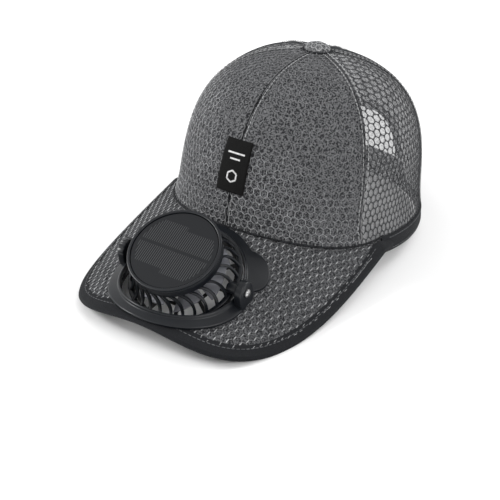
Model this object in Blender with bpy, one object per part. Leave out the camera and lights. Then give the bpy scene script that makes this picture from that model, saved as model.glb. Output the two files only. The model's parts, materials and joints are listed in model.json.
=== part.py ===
"""A six-panel cap with a solar fan in its peak.

The hat is modelled in its own frame: the peak points along -Y, the wearer's left is +X and z = 0
is the level of the rear hem. One empty holds the whole hat and sets it down as it rests on a
table, on the two front corners of the peak and the rear hem.
"""
import math
from math import atan2, cos, exp, hypot, pi, radians, sin, sqrt, tan

import bmesh
import bpy
from mathutils import Matrix, Vector
from mathutils.geometry import delaunay_2d_cdt

MM = 0.001
GAP = 0.3 * MM

# Crown, measured from the rear hem level
CROWN_HEIGHT = 113.0 * MM
CROWN_TIP_BACK = 7.0 * MM
CROWN_SIDES = {
    # direction: reach at the hem, power and root of its curve, flare of the hem
    "side": {"reach": 78.5 * MM, "power": 3.5, "root": 2.55, "flare": 5.5 * MM},
    "front": {"reach": 94.5 * MM, "power": 3.3, "root": 3.1, "flare": 0.0},
    "back": {"reach": 105.0 * MM, "power": 2.05, "root": 1.95, "flare": -6.0 * MM},
}
HEM_FLARE_HEIGHT = 16.0 * MM
PANEL_TOP = 0.985
PANEL_ROWS = 11
PANELS = (
    # name, first and last azimuth in degrees, wall, net
    {"name": "crown_front_left", "first": 0, "last": 62, "wall": 1.6 * MM, "net": False},
    {"name": "crown_front_right", "first": -62, "last": 0, "wall": 1.6 * MM, "net": False},
    {"name": "crown_side_left", "first": 62, "last": 121, "wall": 1.2 * MM, "net": True},
    {"name": "crown_side_right", "first": -121, "last": -62, "wall": 1.2 * MM, "net": True},
    {"name": "crown_back_left", "first": 121, "last": 180, "wall": 1.2 * MM, "net": True},
    {"name": "crown_back_right", "first": 180, "last": 239, "wall": 1.2 * MM, "net": True},
)
COLUMN_STEP = 6.2
NET_GAP_RADIUS = 6.0 * MM
NET_PITCH = 15.6 * MM
NET_ROW_STEP = 14.2 * MM
NET_MARGIN = 5.0 * MM

# Hem band of the sides and back
BAND_HEIGHT = 7.0 * MM
BAND_PROUD = 0.7 * MM
BAND_START = 73.0
HEM_TURN_START = 66.0
HEM_TURN_END = 80.0

# Rear opening over its strap, angles from the middle of the back
STRAP_HEIGHT = 18.0 * MM
STRAP_TURN_START = 25.0
STRAP_TURN_END = 34.0
REAR_OPENING_HALF = 23.0
REAR_OPENING_TOP = 52.0 * MM

# Button
BUTTON_RADIUS = 11.5 * MM
BUTTON_RISE = 4.4 * MM
BUTTON_STEM_RADIUS = 4.2 * MM

# Peak
PEAK_SEAM_HEIGHT = 17.0 * MM
PEAK_BEND = 107.0 * MM
PEAK_PITCH = radians(18.7)
PEAK_HALF_WIDTH = 84.3 * MM
PEAK_TIP_Y = -31.0 * MM
PEAK_LENGTH = 152.7 * MM
PEAK_CORNER_POWER = 3.15
PEAK_THICKNESS = 3.0 * MM
PEAK_SEAM_GAP = 0.45 * MM
BINDING_WIDTH = 5.5 * MM
BINDING_STATIONS = 46
BINDING_TAIL = 12.0 * MM

# Label
LABEL_HALF_WIDTH = 9.8 * MM
LABEL_LOW = 40.5 * MM
LABEL_HIGH = 72.5 * MM
LABEL_THICKNESS = 1.0 * MM

# Fan base plate, in the plane of the peak's slope
PIVOT = Vector((0.0, -139.5 * MM, 3.6 * MM))
PLATE_RADIUS = 45.5 * MM
PLATE_THICKNESS = 2.0 * MM
PLATE_HOLE_RADIUS = 38.0 * MM
LIP_WIDTH = 1.5 * MM
LIP_HEIGHT = 1.8 * MM
LOBE_CENTRE = (31.5 * MM, 23.2 * MM)
LOBE_RADIUS = 15.0 * MM
PEAK_HOLE_RADIUS = 38.6 * MM
UNDER_RING_OUTER = 44.0 * MM
UNDER_RING_INNER = 38.8 * MM
UNDER_RING_THICKNESS = 1.6 * MM
RING_SIDES = 36

# Ears of the base plate
EAR_INNER_X = 40.8 * MM
EAR_THICKNESS = 4.8 * MM
EAR_RADIUS = 7.0 * MM
EAR_BORE_RADIUS = 1.9 * MM

# Fan pod, turned about its own axis, heights from the pivot
POD_TILT = radians(33.0)
POD_SIDES = 36
CAP_RADIUS = 29.0 * MM
CAP_TOP = 19.2 * MM
CAP_WALL = 1.6 * MM
SKIRT_BOTTOM = 13.0 * MM
BEZEL_INNER = 26.6 * MM
BEZEL_OUTER = 29.3 * MM
BEZEL_TOP = 21.6 * MM
PANEL_DISC_TOP = 20.9 * MM
RING_INNER = 33.2 * MM
RING_OUTER = 36.2 * MM
RING_TOP = -2.8 * MM
POD_BOTTOM = -8.0 * MM
RIB_COUNT = 28
RIB_SWIRL = radians(20.0)
RIB_WIDTH = 1.5 * MM
RIB_DEPTH = 2.4 * MM
RIB_PATH = (
    # radius and height of the rib's middle line
    {"radius": 27.2 * MM, "height": 14.0 * MM},
    {"radius": 29.4 * MM, "height": 8.0 * MM},
    {"radius": 32.8 * MM, "height": 2.0 * MM},
    {"radius": 34.7 * MM, "height": -4.0 * MM},
)
BOSS_RADIUS = 3.6 * MM
BOSS_INNER_X = 33.0 * MM
BOSS_BORE_RADIUS = 1.8 * MM
BOSS_BORE_DEPTH = 5.0 * MM

# Guard under the fan
GUARD_RADIUS = 32.9 * MM
GUARD_THICKNESS = 1.4 * MM
GUARD_SLOTS = (
    # slots in the ring, inner and outer radius, width of the bar between two slots
    {"count": 6, "inner": 10.0 * MM, "outer": 19.5 * MM, "bar": 2.2 * MM},
    {"count": 10, "inner": 21.5 * MM, "outer": 31.0 * MM, "bar": 2.2 * MM},
)

# Motor and rotor
MOTOR_RADIUS = 9.0 * MM
MOTOR_BOTTOM = 5.8 * MM
MOTOR_BORE_TOP = 12.5 * MM
MOTOR_BORE_RADIUS = 1.8 * MM
SHAFT_RADIUS = 1.5 * MM
SHAFT_TOP = 12.0 * MM
HUB_RADIUS = 8.0 * MM
HUB_TOP = 5.0 * MM
HUB_BOTTOM = -5.0 * MM
BLADE_COUNT = 7
BLADE_THICKNESS = 1.4 * MM
BLADE_SECTIONS = (
    # radius, half chord and pitch of the blade
    {"radius": 7.0 * MM, "half_chord": 3.6 * MM, "pitch": radians(48)},
    {"radius": 18.0 * MM, "half_chord": 6.4 * MM, "pitch": radians(33)},
    {"radius": 29.6 * MM, "half_chord": 8.0 * MM, "pitch": radians(24)},
)

# Pivot screws
SCREW_HEAD_RADIUS = 3.2 * MM
SCREW_HEAD_HEIGHT = 1.7 * MM
SCREW_SHANK_RADIUS = 1.4 * MM

SLOPE_NORMAL = Vector((0.0, -sin(PEAK_PITCH), cos(PEAK_PITCH)))
SLOPE_UP = Vector((0.0, cos(PEAK_PITCH), sin(PEAK_PITCH)))


# Start clean
def clear_scene():
    for item in list(bpy.data.objects):
        bpy.data.objects.remove(item, do_unlink=True)


def material(name, colour, roughness, metallic=0.0):
    made = bpy.data.materials.get(name)
    if made is None:
        made = bpy.data.materials.new(name)
        made.use_nodes = True
        shader = made.node_tree.nodes["Principled BSDF"]
        shader.inputs["Base Color"].default_value = (*colour, 1.0)
        shader.inputs["Roughness"].default_value = roughness
        shader.inputs["Metallic"].default_value = metallic
    return made


def front_cloth():
    return material("backed_net", (0.13, 0.135, 0.14), 0.85)


def net_cloth():
    return material("open_net", (0.17, 0.175, 0.18), 0.8)


def binding_tape():
    return material("binding_tape", (0.012, 0.015, 0.02), 0.75)


def label_weave():
    return material("label_weave", (0.01, 0.01, 0.012), 0.8)


def black_plastic():
    return material("black_plastic", (0.012, 0.013, 0.015), 0.38)


def blade_plastic():
    return material("blade_plastic", (0.16, 0.165, 0.18), 0.25)


def solar_cell():
    return material("solar_cell", (0.02, 0.021, 0.024), 0.2)


def screw_steel():
    return material("screw_steel", (0.72, 0.72, 0.72), 0.25, 1.0)


def motor_steel():
    return material("motor_steel", (0.5, 0.5, 0.5), 0.4, 1.0)


# Mesh helpers
def new_object(name, mesh_builder, finish, parent, smooth_angle=35):
    """Turns a bmesh into a named object under its parent."""
    mesh = bpy.data.meshes.new(name)
    bmesh.ops.recalc_face_normals(mesh_builder, faces=mesh_builder.faces)
    mesh_builder.to_mesh(mesh)
    mesh_builder.free()
    mesh.shade_smooth()
    mesh.set_sharp_from_angle(angle=radians(smooth_angle))
    made = bpy.data.objects.new(name, mesh)
    bpy.context.collection.objects.link(made)
    made.data.materials.append(finish)
    made.parent = parent
    return made


def new_empty(name, parent=None):
    made = bpy.data.objects.new(name, None)
    bpy.context.collection.objects.link(made)
    made.parent = parent
    return made


def boolean(target, tool, operation):
    """Keeps a Boolean of two closed meshes live on the target, with the tool as a guide."""
    step = target.modifiers.new(operation.lower(), "BOOLEAN")
    step.operation = operation
    step.solver = "EXACT"
    step.object = tool
    tool.hide_render = True
    tool.display_type = "WIRE"


def inside(point, loop):
    """Whether a point of the plane lies inside a closed loop."""
    hit = False
    px, py = point
    for (ax, ay), (bx, by) in zip(loop, loop[1:] + loop[:1]):
        if (ay > py) != (by > py) and px < (bx - ax) * (py - ay) / (by - ay) + ax:
            hit = not hit
    return hit


def sheet(outline, holes, spots, upper, lower, folds=()):
    """A closed sheet with holes, triangulated flat and then lifted to its two faces.

    Folds are further loops whose lines stay edges of the sheet.
    """
    points = []
    edges = []
    for loop in [outline, *holes, *folds]:
        first = len(points)
        points += [Vector(p) for p in loop]
        edges += [(first + i, first + (i + 1) % len(loop)) for i in range(len(loop))]
    points += [Vector(p) for p in spots]
    flat, _, faces, *_ = delaunay_2d_cdt(points, edges, [], 0, 1e-9)
    kept = []
    for face in faces:
        middle = sum((flat[i] for i in face), Vector((0.0, 0.0))) / len(face)
        if inside(middle, outline) and not any(inside(middle, hole) for hole in holes):
            kept.append(face)
    built = bmesh.new()
    tops = [built.verts.new(upper(*p)) for p in flat]
    lows = [built.verts.new(lower(*p)) for p in flat]
    for face in kept:
        built.faces.new([tops[i] for i in face])
        built.faces.new([lows[i] for i in reversed(face)])
    sides = {}
    for face in kept:
        for a, b in zip(face, face[1:] + face[:1]):
            sides.setdefault(frozenset((a, b)), []).append((a, b))
    for uses in sides.values():
        if len(uses) == 1:
            a, b = uses[0]
            built.faces.new((tops[b], tops[a], lows[a], lows[b]))
    for vert in [v for v in built.verts if not v.link_faces]:
        built.verts.remove(vert)
    return built


def strip(sections, closed=False):
    """A solid through closed cross-sections of equal count, with flat ends unless it is a loop."""
    built = bmesh.new()
    rows = [[built.verts.new(p) for p in section] for section in sections]
    pairs = list(zip(rows, rows[1:]))
    if closed:
        pairs.append((rows[-1], rows[0]))
    for row, after in pairs:
        for i in range(len(row)):
            j = (i + 1) % len(row)
            built.faces.new((row[i], row[j], after[j], after[i]))
    if not closed:
        built.faces.new(rows[0])
        built.faces.new(rows[-1])
    return built


def turned(profile, sides):
    """A closed profile of (radius, height) points spun once about Z."""
    built = bmesh.new()
    verts = [built.verts.new((r, 0.0, h)) for r, h in profile]
    edges = [built.edges.new((a, b)) for a, b in zip(verts, verts[1:] + verts[:1])
             if a.co.x > 0 or b.co.x > 0]
    bmesh.ops.spin(built, geom=verts + edges, axis=(0, 0, 1), cent=(0, 0, 0),
                   angle=2 * pi, steps=sides, use_merge=True)
    bmesh.ops.remove_doubles(built, verts=built.verts, dist=1e-6)
    return built


def circle(radius, count, centre=(0.0, 0.0), start=0.0):
    return [(centre[0] + radius * cos(start + 2 * pi * i / count),
             centre[1] + radius * sin(start + 2 * pi * i / count)) for i in range(count)]


def smooth_step(value, low, high):
    part = min(max((value - low) / (high - low), 0.0), 1.0)
    return part * part * (3 - 2 * part)


# Crown surface
def reach(side, z):
    """How far the crown reaches in one direction at a height."""
    row = CROWN_SIDES[side]
    part = min(max(z / CROWN_HEIGHT, 0.0), 1.0)
    flare = row["flare"] * exp(-(z / HEM_FLARE_HEIGHT) ** 2)
    return row["reach"] * (1 - part ** row["power"]) ** (1 / row["root"]) + flare


def crown_at(azimuth, z):
    """A point of the crown's outer face; azimuth 0 is the front and 90 degrees the wearer's left."""
    along = reach("front", z) if cos(azimuth) > 0 else reach("back", z)
    shift = CROWN_TIP_BACK * (z / CROWN_HEIGHT) ** 2
    return Vector((reach("side", z) * sin(azimuth), -along * cos(azimuth) + shift, z))


def peak_top(x, y):
    """Height of the peak's upper face."""
    return PEAK_SEAM_HEIGHT - x * x / (2 * PEAK_BEND) + tan(PEAK_PITCH) * (y + 94.5 * MM)


def from_rear(azimuth):
    """Degrees between an azimuth and the middle of the back."""
    return abs(math.degrees(azimuth) % 360 - 180)


def band_top(azimuth):
    """Height of the hem band, which widens into the strap at the back."""
    strap = 1 - smooth_step(from_rear(azimuth), STRAP_TURN_START, STRAP_TURN_END)
    return BAND_HEIGHT + (STRAP_HEIGHT - BAND_HEIGHT) * strap


def rear_edge(azimuth):
    """Lower edge of the back gores: just over the band, arched over the rear opening."""
    part = from_rear(azimuth) / REAR_OPENING_HALF
    low = band_top(azimuth) + GAP
    if part >= 1:
        return low
    return low + (REAR_OPENING_TOP - low) * (1 - part ** 2.6) ** 0.6


def hem_height(azimuth):
    """Lower edge of the crown: the peak's underside in front, the band's top behind."""
    z = PEAK_SEAM_HEIGHT
    for _ in range(6):
        spot = crown_at(azimuth, z)
        z = peak_top(spot.x, spot.y) - PEAK_THICKNESS
    back = smooth_step(180 - from_rear(azimuth), HEM_TURN_START, HEM_TURN_END)
    return (1 - back) * z + back * rear_edge(azimuth)


def crown_point(azimuth, climb):
    """A point of the outer face, climb 0 at the hem and 1 at the tip."""
    low = hem_height(azimuth)
    return crown_at(azimuth, low + (CROWN_HEIGHT - low) * sin(climb * pi / 2))


def crown_normal(azimuth, climb):
    step = 0.002
    low = max(climb - step, 0.0)
    high = min(climb + step, 1.0)
    up = crown_point(azimuth, high) - crown_point(azimuth, low)
    round_ = crown_point(azimuth + step, climb) - crown_point(azimuth - step, climb)
    return round_.cross(up).normalized()


def crown_offset(azimuth, climb, distance):
    """A point at a distance outside the crown's outer face, negative inside."""
    return crown_point(azimuth, climb) + crown_normal(azimuth, climb) * distance


def seam_azimuth(azimuth, climb, side):
    """A panel's edge, half a gap beside its seam; side is 1 or -1."""
    spot = crown_point(azimuth, climb)
    tip = CROWN_TIP_BACK * (spot.z / CROWN_HEIGHT) ** 2
    return azimuth + side * 0.5 * GAP / hypot(spot.x, spot.y - tip)


def climb_at(azimuth, distance):
    """The climb whose arc length from the hem is the distance."""
    steps = 200
    length = 0.0
    before = crown_point(azimuth, 0.0)
    for i in range(1, steps + 1):
        spot = crown_point(azimuth, i / steps)
        length += (spot - before).length
        before = spot
        if length >= distance:
            return i / steps
    return 1.0


def net_gaps(first, last):
    """Hexagons cut through a net panel, in rows that stand half a cell apart."""
    middle = (first + last) / 2
    gaps = []
    row = 0
    count_before = 0
    while True:
        climb = climb_at(middle, NET_MARGIN + NET_GAP_RADIUS + 3 * MM + row * NET_ROW_STEP)
        spot = crown_point(middle, climb)
        beside = crown_point(middle + 0.01, climb)
        per_radian = (beside - spot).length / 0.01
        above = crown_point(middle, min(climb + 0.005, 1.0))
        per_climb = (above - spot).length / 0.005
        usable = per_radian * (last - first) - 2 * NET_MARGIN - 2 * NET_GAP_RADIUS
        if usable < 0 or climb > 0.93:
            return gaps
        count = int(usable / NET_PITCH) + 1
        if count % 2 == count_before % 2 and count > 1:
            count -= 1
        count_before = count
        for k in range(count):
            centre = middle + (k - (count - 1) / 2) * NET_PITCH / per_radian
            gaps.append([(centre + NET_GAP_RADIUS * sin(pi * j / 3) / per_radian,
                          climb + NET_GAP_RADIUS * cos(pi * j / 3) / per_climb) for j in range(6)])
        row += 1


def crown_panel(row, parent):
    """One cloth gore of the crown, solid or cut through as net."""
    first = radians(row["first"])
    last = radians(row["last"])
    columns = round((row["last"] - row["first"]) / COLUMN_STEP)
    climbs = [PANEL_TOP * i / PANEL_ROWS for i in range(PANEL_ROWS + 1)]

    def left(climb):
        return seam_azimuth(first, climb, 1)

    def right(climb):
        return seam_azimuth(last, climb, -1)

    def across(climb, part):
        return left(climb) + (right(climb) - left(climb)) * part

    bottom = [(across(0.0, i / columns), 0.0) for i in range(columns)]
    rise = [(right(c), c) for c in climbs[:-1]]
    top = [(across(PANEL_TOP, 1 - i / 2), PANEL_TOP) for i in range(2)]
    fall = [(left(c), c) for c in reversed(climbs[1:])]
    outline = bottom + rise + top + fall
    holes = net_gaps(first, last) if row["net"] else []
    spots = []
    if not row["net"]:
        spots = [(across(c, i / columns), c) for c in climbs[1:-1] for i in range(1, columns)]
    built = sheet(outline, holes, spots,
                  lambda a, c: crown_point(a, c),
                  lambda a, c: crown_offset(a, c, -row["wall"]))
    finish = net_cloth() if row["net"] else front_cloth()
    return new_object(row["name"], built, finish, parent)


# Small pieces of the crown
def top_button(parent):
    """The covered button over the six seams, with its stem in their opening."""
    rise = CROWN_HEIGHT + GAP
    profile = [(0.0, rise - 2.5 * MM), (BUTTON_STEM_RADIUS - 2 * MM, rise - 2.5 * MM)]
    profile += [(BUTTON_STEM_RADIUS - 2 * MM, rise), (BUTTON_RADIUS - 1.2 * MM, rise)]
    arc = 5
    for i in range(arc + 1):
        angle = pi / 2 * i / arc
        profile.append((BUTTON_RADIUS * cos(angle), rise + 0.6 * MM + (BUTTON_RISE - 0.6 * MM) * sin(angle)))
    profile[-1] = (0.0, rise + BUTTON_RISE)
    button = new_object("top_button", turned(profile, 16), front_cloth(), parent)
    button.location = (0.0, 4.0 * MM, 0.0)
    return button


def front_label(parent):
    """A woven patch over the front seam, following the crown's face."""
    rows = 6
    columns = 4
    low = crown_climb_of(LABEL_LOW)
    high = crown_climb_of(LABEL_HIGH)
    radius = CROWN_SIDES["side"]["reach"]
    half = LABEL_HALF_WIDTH / radius
    outline = [(-half + 2 * half * i / columns, low) for i in range(columns)]
    outline += [(half, low + (high - low) * i / rows) for i in range(rows)]
    outline += [(half - 2 * half * i / columns, high) for i in range(columns)]
    outline += [(-half, high - (high - low) * i / rows) for i in range(rows)]
    spots = [(-half + 2 * half * i / columns, low + (high - low) * j / rows)
             for i in range(1, columns) for j in range(1, rows)]
    built = sheet(outline, [], spots,
                  lambda a, c: crown_offset(a, c, GAP + LABEL_THICKNESS),
                  lambda a, c: crown_offset(a, c, GAP))
    return new_object("front_label", built, label_weave(), parent)


def crown_climb_of(z):
    """The climb of a height on the front seam."""
    low = hem_height(0.0)
    return math.asin((z - low) / (CROWN_HEIGHT - low)) / (pi / 2)


def band_azimuths():
    """Stations of the hem band in degrees; behind they are the columns of the back gores."""
    back = next(row for row in PANELS if row["name"] == "crown_back_left")
    columns = round((back["last"] - back["first"]) / COLUMN_STEP)
    side = [BAND_START + (back["first"] - 4 - BAND_START) * i / 7 for i in range(8)]
    rear = [back["first"] + (back["last"] - back["first"]) * i / columns for i in range(columns + 1)]
    half = side + rear
    return half + [360 - turn for turn in reversed(half[:-1])]


def hem_binding(parent):
    """The taped hem of the sides and back with the strap, from one end of the peak to the other."""
    sections = []
    for azimuth in [radians(turn) for turn in band_azimuths()]:
        top = hem_height(azimuth) - GAP
        if from_rear(azimuth) < 90:
            top = band_top(azimuth)
        outward = crown_normal(azimuth, 0.0)
        outward.z = 0.0
        outward.normalize()
        wall = 1.2 * MM
        section = []
        for z, side in ((0.0, BAND_PROUD), (top, BAND_PROUD), (top, -wall - BAND_PROUD),
                        (0.0, -wall - BAND_PROUD)):
            section.append(crown_at(azimuth, z) + outward * side)
        sections.append(section)
    return new_object("hem_binding", strip(sections), binding_tape(), parent)


# Peak
def edge_curve(turn):
    """The peak's outer edge from above; turn runs from -90 to 90 degrees."""
    power = 2 / PEAK_CORNER_POWER
    side = 1 if turn > 0 else -1
    x = PEAK_HALF_WIDTH * side * abs(sin(turn)) ** power
    y = PEAK_TIP_Y - PEAK_LENGTH * abs(cos(turn)) ** power
    return Vector((x, y))


def even_points(curve, start, end, count):
    """Points of a curve at equal steps of its length."""
    dense = [curve(start + (end - start) * i / 2000) for i in range(2001)]
    lengths = [0.0]
    for a, b in zip(dense, dense[1:]):
        lengths.append(lengths[-1] + (b - a).length)
    points = []
    index = 0
    for k in range(count):
        wanted = lengths[-1] * k / (count - 1)
        while index < 1999 and lengths[index + 1] < wanted:
            index += 1
        part = (wanted - lengths[index]) / (lengths[index + 1] - lengths[index])
        points.append(dense[index].lerp(dense[index + 1], part))
    return points


def edge_stations():
    """Points of the binding's edge, each with its direction towards the peak's middle.

    Past the peak's two ends the edge runs on straight as a tail beside the hem band.
    """
    points = even_points(edge_curve, -pi / 2, pi / 2, BINDING_STATIONS + 1)
    tail = [Vector((PEAK_HALF_WIDTH, PEAK_TIP_Y + BINDING_TAIL * i / 3)) for i in (1, 2, 3)]
    points = [Vector((-p.x, p.y)) for p in reversed(tail)] + points + tail
    stations = []
    for i, point in enumerate(points):
        along = points[min(i + 1, len(points) - 1)] - points[max(i - 1, 0)]
        stations.append((point, Vector((-along.y, along.x)).normalized()))
    return stations


def edge_top(x, y):
    """Height of the binding's upper face, level along the two tails."""
    return peak_top(x, min(y, PEAK_TIP_Y))


def beside_crown(point):
    """How far a point of the peak stands outside the crown's wall at the peak's level."""
    level = max(edge_top(point.x, point.y) - PEAK_THICKNESS, 0.0)
    azimuth = atan2(point.x / reach("side", level), -point.y / reach("front", level))
    spot = crown_at(azimuth, level)
    outward = (point - spot.to_2d())
    return outward.dot(Vector((sin(azimuth), -cos(azimuth))))


def binding_inset(point, inward):
    """Width of the binding at a station, less where the crown's wall is near."""
    width = BINDING_WIDTH
    clearance = PEAK_SEAM_GAP + BAND_PROUD
    while width > 0.5 * MM and beside_crown(point + inward * width) < clearance:
        width -= 0.1 * MM
    return width


def peak_binding(parent):
    """The tape folded over the peak's edge, with a rounded outer fold."""
    top = 0.0
    low = -PEAK_THICKNESS
    middle = (top + low) / 2
    sections = []
    for point, inward in edge_stations():
        width = binding_inset(point, inward)
        section = []
        for depth, height in ((width, low), (width, top), (1.0 * MM, top), (0.25 * MM, top - 0.8 * MM),
                              (0.0, middle), (0.25 * MM, low + 0.8 * MM), (1.0 * MM, low)):
            spot = point + inward * depth
            section.append(Vector((spot.x, spot.y, edge_top(spot.x, spot.y) + height)))
        sections.append(section)
    return new_object("peak_binding", strip(sections), binding_tape(), parent)


def peak_outline():
    """The peak's cloth from above: the seam along the crown and the line inside the binding."""
    outer = []
    for point, inward in edge_stations():
        if binding_inset(point, inward) >= BINDING_WIDTH - 0.05 * MM:
            outer.append(point + inward * (BINDING_WIDTH + GAP))
    ends = []
    for point in (outer[0], outer[-1]):
        level = peak_top(point.x, point.y)
        ends.append(atan2(point.x / reach("side", level), -point.y / reach("front", level)))
    steps = 26
    seam = []
    for i in range(1, steps):
        azimuth = ends[1] + (ends[0] - ends[1]) * i / steps
        level = hem_height(azimuth)
        spot = crown_at(azimuth, level)
        outward = Vector((sin(azimuth) / reach("side", level), -cos(azimuth) / reach("front", level)))
        seam.append(spot.to_2d() + outward.normalized() * PEAK_SEAM_GAP)
    return [tuple(p) for p in outer] + [tuple(p) for p in seam]


def on_slope(u, v):
    """From the slope's plane to the plan: u along X, v up the slope from the pivot."""
    return (PIVOT.x + u, PIVOT.y + v * cos(PEAK_PITCH))


def peak(parent):
    """The peak's board and cloth in one sheet, open under the fan."""
    outline = peak_outline()
    hole = [on_slope(u, v) for u, v in circle(PEAK_HOLE_RADIUS, RING_SIDES)]
    spots = []
    for i in range(-7, 8):
        for j in range(12):
            spot = (i * 10.5 * MM, PEAK_TIP_Y - j * 13 * MM)
            clear = all(hypot(spot[0] - p[0], spot[1] - p[1]) > 5 * MM for p in outline + hole)
            if clear and inside(spot, outline) and not inside(spot, hole):
                spots.append(spot)
    built = sheet(outline, [hole], spots,
                  lambda x, y: Vector((x, y, peak_top(x, y))),
                  lambda x, y: Vector((x, y, peak_top(x, y) - PEAK_THICKNESS)))
    return new_object("peak", built, front_cloth(), parent)


# Fan base
def above_peak(u, v, distance):
    """A point over the peak's upper face, along the slope's normal."""
    x, y = on_slope(u, v)
    return Vector((x, y, peak_top(x, y))) + SLOPE_NORMAL * distance


def plate_outline():
    """A circle with one round lobe towards the wearer's left ear."""
    centre = hypot(*LOBE_CENTRE)
    bearing = atan2(LOBE_CENTRE[1], LOBE_CENTRE[0])
    outline = []
    count = 72
    for i in range(count):
        angle = 2 * pi * i / count
        across = centre * sin(angle - bearing)
        lobe = 0.0
        if abs(across) < LOBE_RADIUS and cos(angle - bearing) > 0:
            lobe = centre * cos(angle - bearing) + sqrt(LOBE_RADIUS ** 2 - across ** 2)
        radius = max(PLATE_RADIUS, lobe)
        if lobe > PLATE_RADIUS or i % 2 == 0:
            outline.append((radius * cos(angle), radius * sin(angle)))
    return outline


def ear_cutter(name, side, parent):
    """A round rod on the pivot axis that bores one ear."""
    length = EAR_THICKNESS + 4 * MM
    built = bmesh.new()
    bmesh.ops.create_cone(built, cap_ends=True, segments=16, radius1=EAR_BORE_RADIUS,
                          radius2=EAR_BORE_RADIUS, depth=length,
                          matrix=Matrix.Rotation(pi / 2, 4, "Y"))
    tool = new_object(name, built, black_plastic(), parent)
    tool.location = PIVOT + Vector((side * (EAR_INNER_X + EAR_THICKNESS / 2), 0, 0))
    return tool


def ear(name, side, parent):
    """A tab with a round head on the pivot axis and a foot sunk into the plate."""
    sections = []
    for x in (side * EAR_INNER_X, side * (EAR_INNER_X + EAR_THICKNESS)):
        profile = []
        for v in (-EAR_RADIUS - 1.0 * MM, EAR_RADIUS + 1.0 * MM):
            foot = above_peak(x, v, GAP + PLATE_THICKNESS / 2)
            profile.append((v, (foot - PIVOT).dot(SLOPE_NORMAL)))
        for i in range(9):
            angle = pi * i / 8
            profile.append((EAR_RADIUS * cos(angle), EAR_RADIUS * sin(angle)))
        sections.append([PIVOT + Vector((x, 0, 0)) + SLOPE_UP * v + SLOPE_NORMAL * w for v, w in profile])
    return new_object(name, strip(sections), black_plastic(), parent)


def fan_base_plate(parent):
    """The plate on the peak, with its lip round the hole and its two ears."""
    crest = PLATE_HOLE_RADIUS + LIP_WIDTH
    folds = (circle(crest, RING_SIDES), circle(crest + 0.3 * MM, RING_SIDES))
    hole = circle(PLATE_HOLE_RADIUS, RING_SIDES)

    def upper(u, v):
        lift = LIP_HEIGHT if hypot(u, v) < crest + 0.1 * MM else 0.0
        return above_peak(u, v, GAP + PLATE_THICKNESS + lift)

    def lower(u, v):
        return above_peak(u, v, GAP)

    built = sheet(plate_outline(), [hole], [], upper, lower, folds)
    plate = new_object("fan_base_plate", built, black_plastic(), parent)
    for name, side in (("left", 1), ("right", -1)):
        boolean(plate, ear("ear_guide_" + name, side, parent), "UNION")
    for name, side in (("left", 1), ("right", -1)):
        boolean(plate, ear_cutter("ear_bore_" + name, side, parent), "DIFFERENCE")
    return plate


def under_ring(parent):
    """The plain ring that holds the plate from below."""
    top = -PEAK_THICKNESS - GAP
    built = sheet(circle(UNDER_RING_OUTER, RING_SIDES), [circle(UNDER_RING_INNER, RING_SIDES)], [],
                  lambda u, v: above_peak(u, v, top),
                  lambda u, v: above_peak(u, v, top - UNDER_RING_THICKNESS))
    return new_object("under_ring", built, black_plastic(), parent)


# Fan pod, each piece about the pod's own axis
def rod_along_x(radius, low, high, segments=16):
    built = bmesh.new()
    turn = Matrix.Translation(((low + high) / 2, 0, 0)) @ Matrix.Rotation(pi / 2, 4, "Y")
    bmesh.ops.create_cone(built, cap_ends=True, segments=segments, radius1=radius, radius2=radius,
                          depth=high - low, matrix=turn)
    return built


def rib_sections(angle):
    """Cross-sections of one rib, which flares outwards and swirls as it goes down."""
    sections = []
    last = len(RIB_PATH) - 1
    for i, row in enumerate(RIB_PATH):
        turn = angle + RIB_SWIRL * i / last
        outward = Vector((cos(turn), sin(turn), 0))
        aside = Vector((-sin(turn), cos(turn), 0))
        middle = outward * row["radius"] + Vector((0, 0, row["height"]))
        sections.append([middle + aside * (RIB_WIDTH / 2 * a) + outward * (RIB_DEPTH / 2 * b)
                         for a, b in ((-1, -1), (1, -1), (1, 1), (-1, 1))])
    return sections


def housing_ribs(parent):
    whole = bmesh.new()
    for k in range(RIB_COUNT):
        rib = strip(rib_sections(2 * pi * (k + 0.5) / RIB_COUNT))
        bmesh.ops.recalc_face_normals(rib, faces=rib.faces)
        mesh = bpy.data.meshes.new("rib")
        rib.to_mesh(mesh)
        rib.free()
        whole.from_mesh(mesh)
        bpy.data.meshes.remove(mesh)
    return new_object("rib_guide", whole, black_plastic(), parent)


def fan_housing(parent):
    """Cap and skirt, swirled ribs, the lower ring and the two pivot bosses in one moulding."""
    under = CAP_TOP - CAP_WALL
    cap = turned([(0.0, under), (0.0, CAP_TOP), (CAP_RADIUS, CAP_TOP),
                  (CAP_RADIUS - 0.6 * MM, SKIRT_BOTTOM), (CAP_RADIUS - 2.6 * MM, SKIRT_BOTTOM),
                  (CAP_RADIUS - 2.0 * MM, under)], POD_SIDES)
    housing = new_object("fan_housing", cap, black_plastic(), parent)
    boolean(housing, housing_ribs(parent), "UNION")
    ring = turned([(RING_INNER, POD_BOTTOM), (RING_OUTER - 0.8 * MM, POD_BOTTOM),
                   (RING_OUTER, POD_BOTTOM / 2), (RING_OUTER, RING_TOP), (RING_INNER, RING_TOP)], POD_SIDES)
    boolean(housing, new_object("ring_guide", ring, black_plastic(), parent), "UNION")
    for name, side in (("left", 1), ("right", -1)):
        ends = sorted((side * BOSS_INNER_X, side * (EAR_INNER_X - GAP)))
        boss = new_object("boss_guide_" + name, rod_along_x(BOSS_RADIUS, *ends), black_plastic(), parent)
        boolean(housing, boss, "UNION")
    for name, side in (("left", 1), ("right", -1)):
        bore_ends = sorted((side * (EAR_INNER_X - BOSS_BORE_DEPTH), side * (EAR_INNER_X + 2 * MM)))
        bore = new_object("boss_bore_" + name, rod_along_x(BOSS_BORE_RADIUS, *bore_ends),
                          black_plastic(), parent)
        boolean(housing, bore, "DIFFERENCE")
    return housing


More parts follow.
